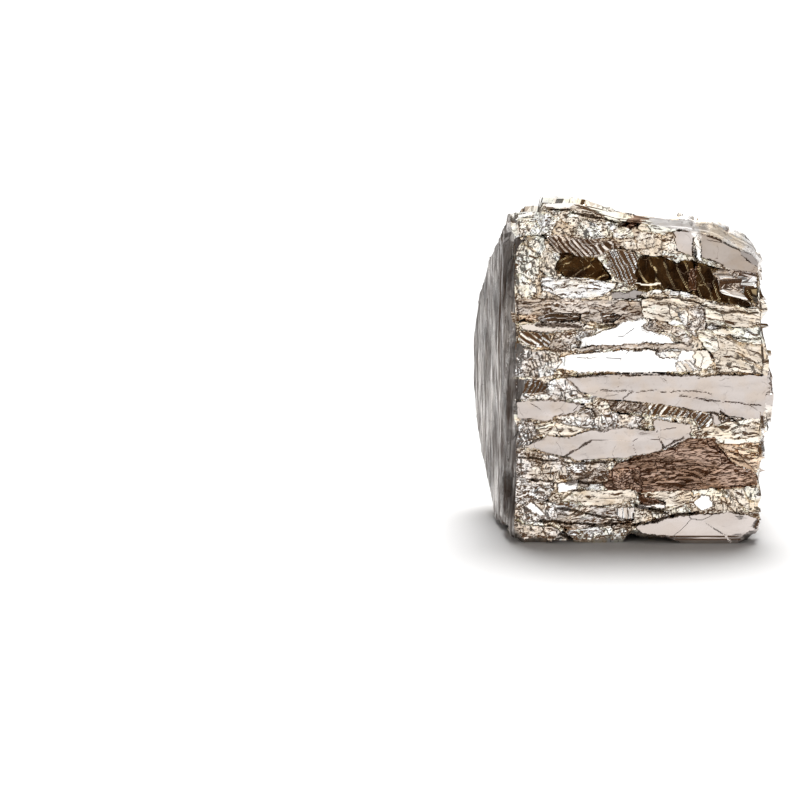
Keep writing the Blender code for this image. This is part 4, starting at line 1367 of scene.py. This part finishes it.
        # The strips beside the front differ: crumbs at the foot, a torn and a worn strip on top.
        low = relief.base[where, 2] < 5
        foot = (relief.out[where] @ FRONT_OUT > 0.3) & low
        top = ~low & (relief.base[where, 1] < 5.5)
        torn = a < 12
        for number, (mask, grain) in enumerate((
                (foot, FOOT_KIND), (top & torn, CREST_KIND), (top & ~torn, PLATE_KIND))):
            relief.breach(where[mask], grain, a[mask], b[mask], SEED_EDGES + number)
        # The seams between the columns are cut in and painted dark as shade.
        seam = np.exp(-(column.rim / 0.07) ** 2)
        relief.crevice_shade[where] = np.maximum(relief.crevice_shade[where], seam)
        relief.height[where] -= 0.2 * seam

    def detail_inner(self, relief: Relief) -> None:
        """The inner end: broken column ends, as tiles of all sizes.

        Args:
            relief: the dense surface, which it changes.
        """
        where = np.flatnonzero(relief.chart == Chart.INNER.value)
        a, b = relief.a[where], relief.b[where]
        sway = 0.9 * noise(a * 0.5, b * 0.5, 73) + 0.3 * noise(a * 1.7, b * 1.7, 74)
        tile = cells(a + sway, b - 0.7 * sway, *self.tile_size, 71)
        relief.breach_by_draw(where, tile.pick(72), TILE_KINDS, a, b, SEED_INNER)
        # The seams between the tiles are cut in, in places, and painted dark as shade.
        seam = np.exp(-(tile.rim / 0.05) ** 2) * np.clip(1.5 * noise(a * 0.6, b * 0.6, 75), 0, 1)
        relief.crevice_shade[where] = np.maximum(relief.crevice_shade[where], seam)
        relief.height[where] += self.tile_step * tile.pick(76) - 0.1 * seam

    def detail_skin(self, relief: Relief) -> None:
        """The mould skin: upright fibres, sharp behind the front edge and soft further back.

        Args:
            relief: the dense surface, which it changes.
        """
        outward = relief.out @ SKIN_OUT
        where = np.flatnonzero((relief.chart == Chart.SKIN.value) | (outward > 0.45))
        depth, up = relief.base[where, 1] - relief.base[where, 0], relief.base[where, 2]
        bend = 0.6 * noise(depth * 0.25, up * 0.10, 81) + 0.1 * noise(depth * 0.8, up * 0.4, 80)
        sharp = np.clip(1.3 - depth / 6.0, 0.15, 1)
        fibre = roofs(up, depth + bend, *self.fibre_size, self.fibre_slopes, 82)
        thread = roofs(up, depth + bend, *self.thread_size, self.thread_slopes, 84)
        height = sharp * (fibre.height + thread.height)
        height += 0.10 * noise(depth * 0.4, up * 0.2, 87) + 0.05 * noise(depth * 2, up * 0.9, 88)
        groove = np.exp(-((depth + bend - self.lip) / self.groove_width) ** 2)
        relief.height[where] = height - self.groove_depth * groove
        blotch = noise(depth * 0.35, up * 0.22, 89) + 0.6 * noise(depth * 1.1, up * 0.6, 90)
        streak = sharp * (0.6 * fibre.pick(91) + 0.4 * thread.pick(92))
        light = np.clip(0.49 + 0.30 * blotch + 0.16 * streak, 0.05, 0.95)
        relief.tint[where] = light[:, None] * np.array((1.0, 0.96, 0.93))
        # The groove is painted dark as shade.
        relief.crevice_shade[where] = groove
        relief.style[where] = Style.SKIN.value
        relief.hatch[where] = 0
        relief.grain[where] = 0

    def thinned(self, points: np.ndarray, relief: Relief) -> bpy.types.Mesh:
        """Makes a mesh of the points and thins it, with most triangles left on the front.

        Args:
            points: the dense surface's points, in millimetres of the lump.
            relief: the dense surface. A face of it may repeat its last corner.

        Returns:
            The thinned mesh, in metres of the frame.
        """
        faces = relief.faces
        mesh = bpy.data.meshes.new(self.name)
        metres = (points + ORIGIN_MM) * MM
        split = np.concatenate((faces[:, [0, 1, 2]],
                                faces[faces[:, 2] != faces[:, 3]][:, [0, 2, 3]]))
        mesh.vertices.add(len(points))
        mesh.vertices.foreach_set("co", metres.ravel())
        mesh.loops.add(split.size)
        mesh.loops.foreach_set("vertex_index", split.ravel())
        mesh.polygons.add(len(split))
        mesh.polygons.foreach_set("loop_start", np.arange(0, split.size, 3))
        mesh.update(calc_edges=True)
        mesh.validate()
        work = bpy.data.objects.new("dense", mesh)
        bpy.context.scene.collection.objects.link(work)
        on_front = relief.chart == Chart.FRONT.value
        group = work.vertex_groups.new(name="rest")
        group.add(np.flatnonzero(~on_front).tolist(), 1.0, "REPLACE")
        dense_front = int(on_front[split].all(axis=1).sum())
        first = dense_front + self.triangles - self.front_triangles
        for name, ratio, invert in (("thin_rest", first / len(split), False),
                                    ("thin_front", self.triangles / first, True)):
            thin = work.modifiers.new(name, "DECIMATE")
            thin.ratio = ratio
            thin.vertex_group = group.name
            thin.invert_vertex_group = invert
        graph = bpy.context.evaluated_depsgraph_get()
        thinned = bpy.data.meshes.new_from_object(work.evaluated_get(graph))
        bpy.data.objects.remove(work)
        thinned.name = self.name
        thinned.shade_flat()
        log.info("thinned from %d to %d triangles", len(split), len(thinned.polygons))
        return thinned

    def paint(self, mesh: bpy.types.Mesh, points: np.ndarray, relief: Relief) -> None:
        """Gives each face of the thinned mesh its colour, finish and place on the map.

        Args:
            mesh: the thinned mesh.
            points: the dense surface's points, in millimetres of the lump.
            relief: the dense surface.
        """
        tree = KDTree(len(points))
        for index, point in enumerate(points.tolist()):
            tree.insert(point, index)
        tree.balance()
        count = len(mesh.polygons)
        centres = np.zeros(count * 3)
        mesh.polygons.foreach_get("center", centres)
        centres = centres.reshape(-1, 3) / MM - ORIGIN_MM
        nearest = np.array([tree.find(centre)[1] for centre in centres.tolist()])
        chart = relief.chart[nearest]
        log.info("triangles by chart: %s", np.bincount(chart).tolist())
        colours = np.ones((count, 4))
        colours[:, :3] = relief.tint[nearest]
        mesh.attributes.new("tint", "FLOAT_COLOR", "FACE").data.foreach_set(
            "color", colours.ravel())
        # Each face's painted shade from crevices, cracks, seams and grooves.
        mesh.attributes.new("crevice_shade", "FLOAT", "FACE").data.foreach_set(
            "value", relief.crevice_shade[nearest])
        mesh.polygons.foreach_set("material_index", relief.style[nearest])
        kind = np.repeat(chart, 3)
        along, across, _ = self.flat_places(mesh, kind)
        self.lay_out(mesh, kind, along, across)
        frozen = np.repeat(relief.style[nearest] == Style.SKIN.value, 3)
        along, across, x = self.flat_places(mesh, np.where(frozen, Chart.SKIN.value, kind))
        # On the strip that turns off the skin, X tells the corners apart too.
        across = np.where(frozen, across - 1.5 * x, across)
        turn = np.repeat(np.radians(relief.hatch[nearest]), 3)
        place = np.stack((along * np.cos(turn) + across * np.sin(turn),
                          across * np.cos(turn) - along * np.sin(turn),
                          np.repeat(relief.grain[nearest], 3) * 0.37), axis=1)
        mesh.attributes.new("grain_place", "FLOAT_VECTOR", "CORNER").data.foreach_set(
            "vector", place.ravel())

    def flat_places(self, mesh: bpy.types.Mesh,
                    kind: np.ndarray) -> tuple[np.ndarray, np.ndarray, np.ndarray]:
        """Finds the corners' flat coordinates, in millimetres: along the columns and across.

        Args:
            mesh: the mesh.
            kind: number of each corner's chart.

        Returns:
            Both coordinates, and the corners' X. On the skin the first runs upwards.
        """
        corners = np.zeros(len(mesh.loops), dtype=int)
        mesh.loops.foreach_get("vertex_index", corners)
        places = np.zeros(len(mesh.vertices) * 3)
        mesh.vertices.foreach_get("co", places)
        p = places.reshape(-1, 3)[corners] / MM - ORIGIN_MM
        height = p[:, 1] * math.sin(FRONT_LEAN) + p[:, 2] * math.cos(FRONT_LEAN)
        middle_y, middle_z = self.map_middle
        angle = np.arctan2(p[:, 2] - middle_z, p[:, 1] - middle_y) + math.pi
        around = angle * self.map_radius
        along = np.choose(kind, (p[:, 0], p[:, 0], p[:, 2], p[:, 1]))
        across = np.choose(kind, (height, around, p[:, 1], p[:, 2]))
        return along, across, p[:, 0]

    def lay_out(self, mesh: bpy.types.Mesh, kind: np.ndarray, along: np.ndarray,
                across: np.ndarray) -> None:
        """Lays the faces out on a flat map, chart by chart.

        Args:
            mesh: the mesh.
            kind: number of each corner's chart.
            along: each corner's first coordinate in its chart.
            across: its second coordinate.
        """
        flat = np.zeros((len(kind), 2))
        for chart, margin, scale, left, bottom in (
                (Chart.FRONT, 1.0, 1.9, 0.0, 0.0), (Chart.WALL, 4.5, 0.95, 54.0, 0.0),
                (Chart.SKIN, 1.0, 0.95, 0.0, 84.0), (Chart.INNER, 1.0, 0.95, 84.0, 36.0)):
            mine = kind == chart.value
            flat[mine, 0] = (left + (along[mine] + margin) * scale) / self.map_size
            flat[mine, 1] = (bottom + (across[mine] + 1.0) * scale) / self.map_size
        layer = mesh.uv_layers.new(name="OFBake")
        layer.data.foreach_set("uv", np.clip(flat, 0.001, 0.999).ravel())


def new_material(name: str) -> tuple[bpy.types.Material, bpy.types.NodeTree]:
    """Makes a node material.

    Args:
        name: its name.

    Returns:
        The material and its nodes.
    """
    material = bpy.data.materials.new(name)
    material.use_nodes = True
    return material, material.node_tree


class Socket(Enum):
    """The kinds of value that go in and out of a node group."""

    VALUE = "NodeSocketFloat"
    VECTOR = "NodeSocketVector"
    COLOUR = "NodeSocketColor"


@dataclass
class Graph:
    """Adds nodes to a node tree, with their values and links in one call."""

    tree: bpy.types.NodeTree

    def add(self, kind: str, values: dict | None = None, **settings: object) -> bpy.types.Node:
        """Adds a node.

        Args:
            kind: the node's type, without the words ShaderNode.
            values: what goes into its sockets, by name or number: a value or another socket.
            settings: the node's own settings.

        Returns:
            The node.
        """
        node = self.tree.nodes.new("ShaderNode" + kind)
        for name, value in settings.items():
            setattr(node, name, value)
        self.feed(node, values or {})
        return node

    def feed(self, node: bpy.types.Node, values: dict) -> None:
        """Sets a node's sockets, or links other sockets to them.

        Args:
            node: the node.
            values: what goes into its sockets, by name or number.
        """
        for name, value in values.items():
            if isinstance(value, bpy.types.NodeSocket):
                self.tree.links.new(value, node.inputs[name])
            else:
                node.inputs[name].default_value = value

    def math(self, operation: str, *values: object) -> bpy.types.NodeSocket:
        """Adds a calculation with one to three numbers and gives its result."""
        return self.add("Math", dict(enumerate(values)), operation=operation).outputs[0]

    def spread(self, value: bpy.types.NodeSocket, low: float, high: float, start: float = 0.0,
               end: float = 1.0) -> bpy.types.NodeSocket:
        """Maps one stretch of numbers to another, and no further.

        Args:
            value: the number to map.
            low: where the first stretch starts.
            high: where it ends.
            start: where the second stretch starts.
            end: where it ends.

        Returns:
            The mapped number.
        """
        node = self.add("MapRange", {"Value": value, "From Min": low, "From Max": high,
                                     "To Min": start, "To Max": end})
        return node.outputs["Result"]

    def mix(self, share: object, first: object, second: object,
            blend: str = "MIX") -> bpy.types.NodeSocket:
        """Mixes two colours.

        Args:
            share: how much of the second one there is.
            first: the first colour.
            second: the second colour.
            blend: the way they mix.

        Returns:
            The mixed colour.
        """
        node = self.add("Mix", data_type="RGBA", blend_type=blend)
        self.feed(node, {0: share, 6: first, 7: second})
        return node.outputs[2]

    def attribute(self, name: str, output: str) -> bpy.types.NodeSocket:
        """Reads a value that the mesh carries."""
        return self.add("Attribute", attribute_name=name).outputs[output]


def new_group(name: str, inputs: dict[str, Socket],
              outputs: dict[str, Socket]) -> tuple[Graph, bpy.types.Node, bpy.types.Node]:
    """Makes an empty node group.

    Args:
        name: the group's name.
        inputs: names and kinds of what goes in.
        outputs: names and kinds of what comes out.

    Returns:
        The group's graph, its input node and its output node.
    """
    tree = bpy.data.node_groups.new(name, "ShaderNodeTree")
    for way, sockets in (("INPUT", inputs), ("OUTPUT", outputs)):
        for label, kind in sockets.items():
            tree.interface.new_socket(name=label, in_out=way, socket_type=kind.value)
    return Graph(tree), tree.nodes.new("NodeGroupInput"), tree.nodes.new("NodeGroupOutput")


def grain_lines_group() -> bpy.types.NodeTree:
    """Builds the group for the finest lines of a broken face, which run along its grain.

    Returns:
        The group.
    """
    graph, given, result = new_group(
        "grain_lines",
        {"Place": Socket.VECTOR, "Pitch": Socket.VALUE, "Stretch": Socket.VALUE,
         "Warp": Socket.VALUE},
        {"Height": Socket.VALUE, "Streak": Socket.VALUE})
    apart = graph.add("SeparateXYZ", {0: given.outputs["Place"]})
    drift = graph.add("TexNoise", {"Vector": given.outputs["Place"], "Scale": 0.7, "Detail": 1.0})
    sway = graph.math("MULTIPLY", graph.math("SUBTRACT", drift.outputs[0], 0.5),
                      given.outputs["Warp"])
    place = graph.add("CombineXYZ", {
        0: graph.math("DIVIDE", apart.outputs[0], given.outputs["Stretch"]),
        1: graph.math("ADD", apart.outputs[1], sway), 2: apart.outputs[2]})
    scale = graph.math("DIVIDE", 1.0, given.outputs["Pitch"])
    fine = graph.add("TexNoise", {"Vector": place.outputs[0], "Scale": scale, "Detail": 2.0,
                                  "Roughness": 0.65})
    broad = graph.add("TexNoise", {"Vector": place.outputs[0], "Detail": 2.0,
                                   "Scale": graph.math("MULTIPLY", scale, 0.45)})
    streak = graph.spread(broad.outputs[0], 0.36, 0.64)
    graph.feed(result, {"Height": fine.outputs[0], "Streak": streak})
    return graph.tree


def hairlines_group() -> bpy.types.NodeTree:
    """Builds the group for thin broken cracks, as a mask.

    Returns:
        The group.
    """
    graph, given, result = new_group(
        "hairlines",
        {"Place": Socket.VECTOR, "Size": Socket.VALUE, "Width": Socket.VALUE},
        {"Crack": Socket.VALUE})
    sway = graph.add("TexNoise", {"Vector": given.outputs["Place"], "Scale": 0.9, "Detail": 3.0})
    place = graph.add("VectorMath", {0: given.outputs["Place"], 1: sway.outputs["Color"]},
                      operation="ADD")
    edge = graph.add("TexVoronoi", {
        "Vector": place.outputs[0], "Scale": graph.math("DIVIDE", 1.0, given.outputs["Size"])},
        feature="DISTANCE_TO_EDGE")
    width = graph.math("DIVIDE", given.outputs["Width"], given.outputs["Size"])
    line = graph.math("SUBTRACT", 1.0, graph.math("MINIMUM", graph.math(
        "DIVIDE", edge.outputs["Distance"], width), 1.0))
    broken = graph.add("TexNoise", {"Vector": given.outputs["Place"], "Scale": 0.55})
    crack = graph.math("MULTIPLY", line, graph.spread(broken.outputs[0], 0.48, 0.56))
    graph.feed(result, {"Crack": crack})
    return graph.tree


def tarnish_and_shade_group() -> bpy.types.NodeTree:
    """Builds the group for straw and rust coloured tarnish, and for the painted shade that darkens
    the crevices.

    Returns:
        The group.
    """
    graph, given, result = new_group(
        "tarnish_and_shade",
        {"Colour": Socket.COLOUR, "Place": Socket.VECTOR, "CreviceShade": Socket.VALUE,
         "Straw": Socket.VALUE, "Rust": Socket.VALUE},
        {"Colour": Socket.COLOUR, "StainAndShade": Socket.VALUE})
    wide = graph.add("TexNoise", {"Vector": given.outputs["Place"], "Scale": 0.45, "Detail": 4.0})
    small = graph.add("TexNoise", {"Vector": given.outputs["Place"], "Scale": 2.6, "Detail": 3.0})
    straw = graph.math("MULTIPLY", graph.spread(wide.outputs[0], 0.47, 0.62),
                       given.outputs["Straw"])
    warm = graph.mix(straw, given.outputs["Colour"], (1.0, 0.80, 0.52, 1), "MULTIPLY")
    spots = graph.math("MULTIPLY", graph.spread(small.outputs[0], 0.60, 0.70),
                       given.outputs["Rust"])
    # Rust spots, and the painted shade in the crevices, both darken the colour to brown.
    stain_and_shade = graph.math("MAXIMUM", spots, given.outputs["CreviceShade"])
    colour = graph.mix(stain_and_shade, warm, (0.085, 0.045, 0.024, 1))
    graph.feed(result, {"Colour": colour, "StainAndShade": stain_and_shade})
    return graph.tree


@dataclass(frozen=True)
class Effects:
    """The node groups that the finishes share."""

    lines: bpy.types.NodeTree
    cracks: bpy.types.NodeTree
    tarnish_and_shade: bpy.types.NodeTree


@dataclass(frozen=True)
class Finish:
    """The finish of the metal where it broke or froze in one way.

    Attributes:
        name: the material's name.
        metallic: how metallic it is.
        rough_low: roughness of its brightest lines.
        rough_high: roughness of its dullest lines.
        pitch: distance between its finest lines, in millimetres.
        stretch: how much longer than wide they are.
        warp: how far they sway, in millimetres.
        relief: how deep they are, in millimetres.
        streak: how much darker the dark lines are, from 0 to 1.
        crack_size: distance between its hairline cracks, in millimetres.
        crack_width: half their width, in millimetres.
        straw: how much straw coloured tarnish there is, from 0 to 1.
        rust: how much rust there is, from 0 to 1.
    """

    name: str
    metallic: float = 1.0
    rough_low: float = 0.1
    rough_high: float = 0.2
    pitch: float = 0.2
    stretch: float = 8.0
    warp: float = 0.5
    relief: float = 0.02
    streak: float = 0.2
    crack_size: float = 3.0
    crack_width: float = 0.03
    straw: float = 0.5
    rust: float = 0.3

    def build(self, effects: Effects) -> bpy.types.Material:
        """Makes the material.

        Args:
            effects: the node groups to use.

        Returns:
            The material.
        """
        material, tree = new_material(self.name)
        graph = Graph(tree)
        place = graph.attribute("grain_place", "Vector")
        lines = graph.add("Group", {"Place": place, "Pitch": self.pitch, "Warp": self.warp,
                                    "Stretch": self.stretch}, node_tree=effects.lines)
        cracks = graph.add("Group", {"Place": place, "Size": self.crack_size,
                                     "Width": self.crack_width}, node_tree=effects.cracks)
        crack = cracks.outputs["Crack"]
        dark = graph.math("MULTIPLY", graph.math("SUBTRACT", 1.0, lines.outputs["Streak"]),
                          self.streak)
        shaded = graph.mix(dark, graph.attribute("tint", "Color"), (0.07, 0.048, 0.036, 1))
        # Painted shade: the crevices and the hairline cracks darken the colour.
        crevice_shade = graph.math("MAXIMUM", graph.attribute("crevice_shade", "Fac"),
                             graph.math("MULTIPLY", crack, 0.7))
        stained_and_shaded = graph.add("Group", {
            "Colour": shaded, "Place": place, "CreviceShade": graph.math("MULTIPLY", crevice_shade, 0.85),
            "Straw": self.straw, "Rust": self.rust}, node_tree=effects.tarnish_and_shade)
        rough = graph.spread(lines.outputs["Streak"], 0.0, 1.0, self.rough_high, self.rough_low)
        dull = graph.math("MULTIPLY_ADD", stained_and_shaded.outputs["StainAndShade"], 0.3, rough)
        height = graph.math("SUBTRACT", lines.outputs["Height"], crack)
        bump = graph.add("Bump", {"Height": height, "Distance": self.relief * MM})
        shader = tree.nodes["Principled BSDF"]
        graph.feed(shader, {"Base Color": stained_and_shaded.outputs["Colour"], "Roughness": dull,
                            "Normal": bump.outputs[0], "Metallic": self.metallic})
        return material


FINISHES: dict[Style, Finish] = {
    Style.MIRROR: Finish("mirror_cleavage", rough_low=0.07, rough_high=0.13, pitch=0.5, stretch=6,
                         relief=0.010, streak=0.12, crack_size=4.0, crack_width=0.014, straw=0.2,
                         rust=0.12),
    Style.LAYERS: Finish("stepped_cleavage", rough_low=0.05, rough_high=0.09, pitch=0.22,
                         stretch=16, relief=0.006, streak=0.15, crack_size=8.0,
                         crack_width=0.02, straw=0.3, rust=0.3),
    Style.FIBRES: Finish("torn_fibres", rough_low=0.05, rough_high=0.09, pitch=0.16, stretch=12,
                         relief=0.010, streak=0.3, crack_size=9.0, crack_width=0.02, straw=0.35,
                         rust=0.6),
    Style.CRUMBS: Finish("torn_crumbs", rough_low=0.05, rough_high=0.09, pitch=0.16, stretch=8,
                         relief=0.010, streak=0.3, crack_size=9.0, crack_width=0.02, straw=0.35,
                         rust=0.6),
    Style.BRIGHT: Finish("clean_cleavage", rough_low=0.05, rough_high=0.09, pitch=0.6, stretch=5,
                         relief=0.008, streak=0.05, crack_size=30.0, crack_width=0.01,
                         straw=0.05, rust=0.02),
    Style.FROSTED: Finish("weathered_edge", rough_low=0.38, rough_high=0.55, pitch=0.3,
                          stretch=9, relief=0.03, streak=0.25, crack_size=4.0,
                          crack_width=0.02, straw=0.5, rust=0.5),
    Style.SKIN: Finish("mould_skin", metallic=0.8, rough_low=0.25, rough_high=0.5, pitch=0.28,
                       stretch=9, warp=0.5, relief=0.12, streak=0.85, crack_size=6.0,
                       crack_width=0.03, straw=0.1, rust=0.3),
    Style.HOLLOW: Finish("deep_hollow", rough_low=0.06, rough_high=0.12, pitch=0.45, stretch=2.0,
                         warp=0.8, relief=0.025, streak=0.85, crack_size=2.2, crack_width=0.03,
                         straw=0.2, rust=0.3),
}


@dataclass
class Studio:
    """A white floor, a pale surround, soft lights, dark cards and the camera.

    Attributes:
        elevation: how far the camera looks down.
        distance: distance from the camera to the anchor, in metres.
        focal_pixels: the focal length in pixels of the picture.
        picture_pixels: the picture's width.
        sensor: the camera's sensor width, in millimetres.
        anchor_pixel: where the lump's own origin lies in the picture.
        floor_reach: half the floor's width, in metres.
        floor_colour: the floor's colour.
        card_colour: the cards' colour.
        sun_energy: strength of the light that all surfaces get.
        sun_spread: how wide that light is, which softens the shadow.
        sun_turn: how it leans backwards and sideways.
        aim: the point that the soft boxes face, in metres.
        world_colour: the surround's colour.
        world_strength: the surround's strength.
    """

    elevation: float = math.radians(12)
    distance: float = 0.30
    focal_pixels: float = 3000.0
    picture_pixels: int = 800
    sensor: float = 36.0
    anchor_pixel: tuple = (512.0, 537.0)
    floor_reach: float = 60.0
    floor_colour: tuple = (0.88, 0.88, 0.88)
    card_colour: tuple = (0.10, 0.058, 0.032)
    sun_energy: float = 4.2
    sun_spread: float = math.radians(30)
    sun_turn: tuple = (math.radians(-23), math.radians(2), 0)
    aim: tuple = (0, 0, 0.017)
    world_colour: tuple = (1.0, 0.94, 0.90, 1)
    world_strength: float = 0.18

    def build(self) -> None:
        """Builds the whole studio."""
        self.floor()
        self.cards()
        self.lights()
        self.world()
        self.camera()

    @staticmethod
    def plate(name: str, corners: tuple, colour: tuple) -> bpy.types.Object:
        """Makes a flat four-cornered stage piece in one dull colour.

        Args:
            name: its name.
            corners: its four corners.
            colour: its colour.

        Returns:
            The piece.
        """
        mesh = bpy.data.meshes.new(name)
        mesh.from_pydata(corners, [], [(0, 1, 2, 3)])
        material, tree = new_material(name)
        shader = tree.nodes["Principled BSDF"]
        shader.inputs["Base Color"].default_value = (*colour, 1)
        shader.inputs["Roughness"].default_value = 0.9
        shader.inputs["Specular IOR Level"].default_value = 0.1
        mesh.materials.append(material)
        obj = bpy.data.objects.new(name, mesh)
        bpy.context.scene.collection.objects.link(obj)
        return obj

    def floor(self) -> None:
        """The white floor."""
        reach = self.floor_reach
        self.plate("floor", ((-reach, -reach, 0), (reach, -reach, 0), (reach, reach, 0),
                             (-reach, reach, 0)), self.floor_colour)

    def cards(self) -> None:
        """Dark cards round the lump, which only its mirrors show. They cast no shadow."""
        for name, (x0, y0), (x1, y1), low, high in (
                ("card_front", (-0.60, -0.62), (0.60, -0.62), 0.0, 0.20),
                ("card_left", (-0.75, 0.45), (-0.75, -0.35), 0.0, 0.20),
                ("card_right", (0.75, -0.25), (0.75, 0.15), 0.02, 0.16),
                ("card_back", (0.4, 1.0), (-0.4, 1.0), 0.0, 0.08)):
            card = self.plate(name, ((x0, y0, low), (x1, y1, low), (x1, y1, high),
                                     (x0, y0, high)), self.card_colour)
            card.visible_camera = False
            card.visible_diffuse = False
            card.visible_shadow = False

    def lights(self) -> None:
        """A broad soft light for all, and three soft boxes that only the mirrors show."""
        sky = bpy.data.lights.new("overhead", "SUN")
        sky.energy = self.sun_energy
        sky.angle = self.sun_spread
        overhead = bpy.data.objects.new("overhead", sky)
        overhead.rotation_euler = self.sun_turn
        bpy.context.scene.collection.objects.link(overhead)
        for name, place, size, radiance in (
                ("soft_top", (0.05, -0.45, 0.42), (0.54, 0.46), 1.12),
                ("soft_zenith", (0.0, 0.10, 0.75), (0.9, 0.6), 1.1),
                ("soft_back", (0.0, 1.1, 0.35), (1.4, 0.5), 1.2)):
            data = bpy.data.lights.new(name, "AREA")
            data.shape = "RECTANGLE"
            data.size, data.size_y = size
            data.energy = radiance * math.pi * size[0] * size[1]
            lamp = bpy.data.objects.new(name, data)
            lamp.visible_diffuse = False
            lamp.location = place
            look = Vector(self.aim) - Vector(place)
            lamp.rotation_euler = look.to_track_quat("-Z", "Y").to_euler()
            bpy.context.scene.collection.objects.link(lamp)

    def world(self) -> None:
        """The pale surround."""
        world = bpy.data.worlds.new("surround")
        world.use_nodes = True
        shade = world.node_tree.nodes["Background"]
        shade.inputs["Color"].default_value = self.world_colour
        shade.inputs["Strength"].default_value = self.world_strength
        bpy.context.scene.world = world

    def camera(self) -> None:
        """The camera, at the photograph's distance and angle."""
        data = bpy.data.cameras.new("camera")
        data.sensor_width = self.sensor
        data.lens = self.focal_pixels / self.picture_pixels * self.sensor
        data.clip_start = 0.01
        camera = bpy.data.objects.new("camera", data)
        look = Vector((0, math.cos(self.elevation), -math.sin(self.elevation)))
        up = Vector((0, math.sin(self.elevation), math.cos(self.elevation)))
        half = self.picture_pixels / 2
        anchor = Vector(ORIGIN_MM * MM)
        scale = self.distance / self.focal_pixels
        side = (self.anchor_pixel[0] - half) * scale
        drop = (self.anchor_pixel[1] - half) * scale
        camera.location = anchor - look * self.distance - Vector((side, 0, 0)) + up * drop
        camera.rotation_euler = look.to_track_quat("-Z", "Y").to_euler()
        bpy.context.scene.collection.objects.link(camera)
        bpy.context.scene.camera = camera


def main() -> None:
    """Builds the lump's looks and the studio."""
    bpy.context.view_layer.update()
    lump = FractureMesh().build()
    effects = Effects(grain_lines_group(), hairlines_group(), tarnish_and_shade_group())
    for style in Style:
        lump.data.materials.append(FINISHES[style].build(effects))
    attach(lump, "root")
    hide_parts(NODE)
    log.info("piece %s: %d triangles", lump.name, len(lump.data.polygons))
    Studio().build()
    scene = bpy.context.scene
    scene.view_settings.view_transform = "Standard"


if __name__ == "__main__":
    logging.basicConfig(level=logging.INFO, format="%(name)s: %(message)s")
    main()
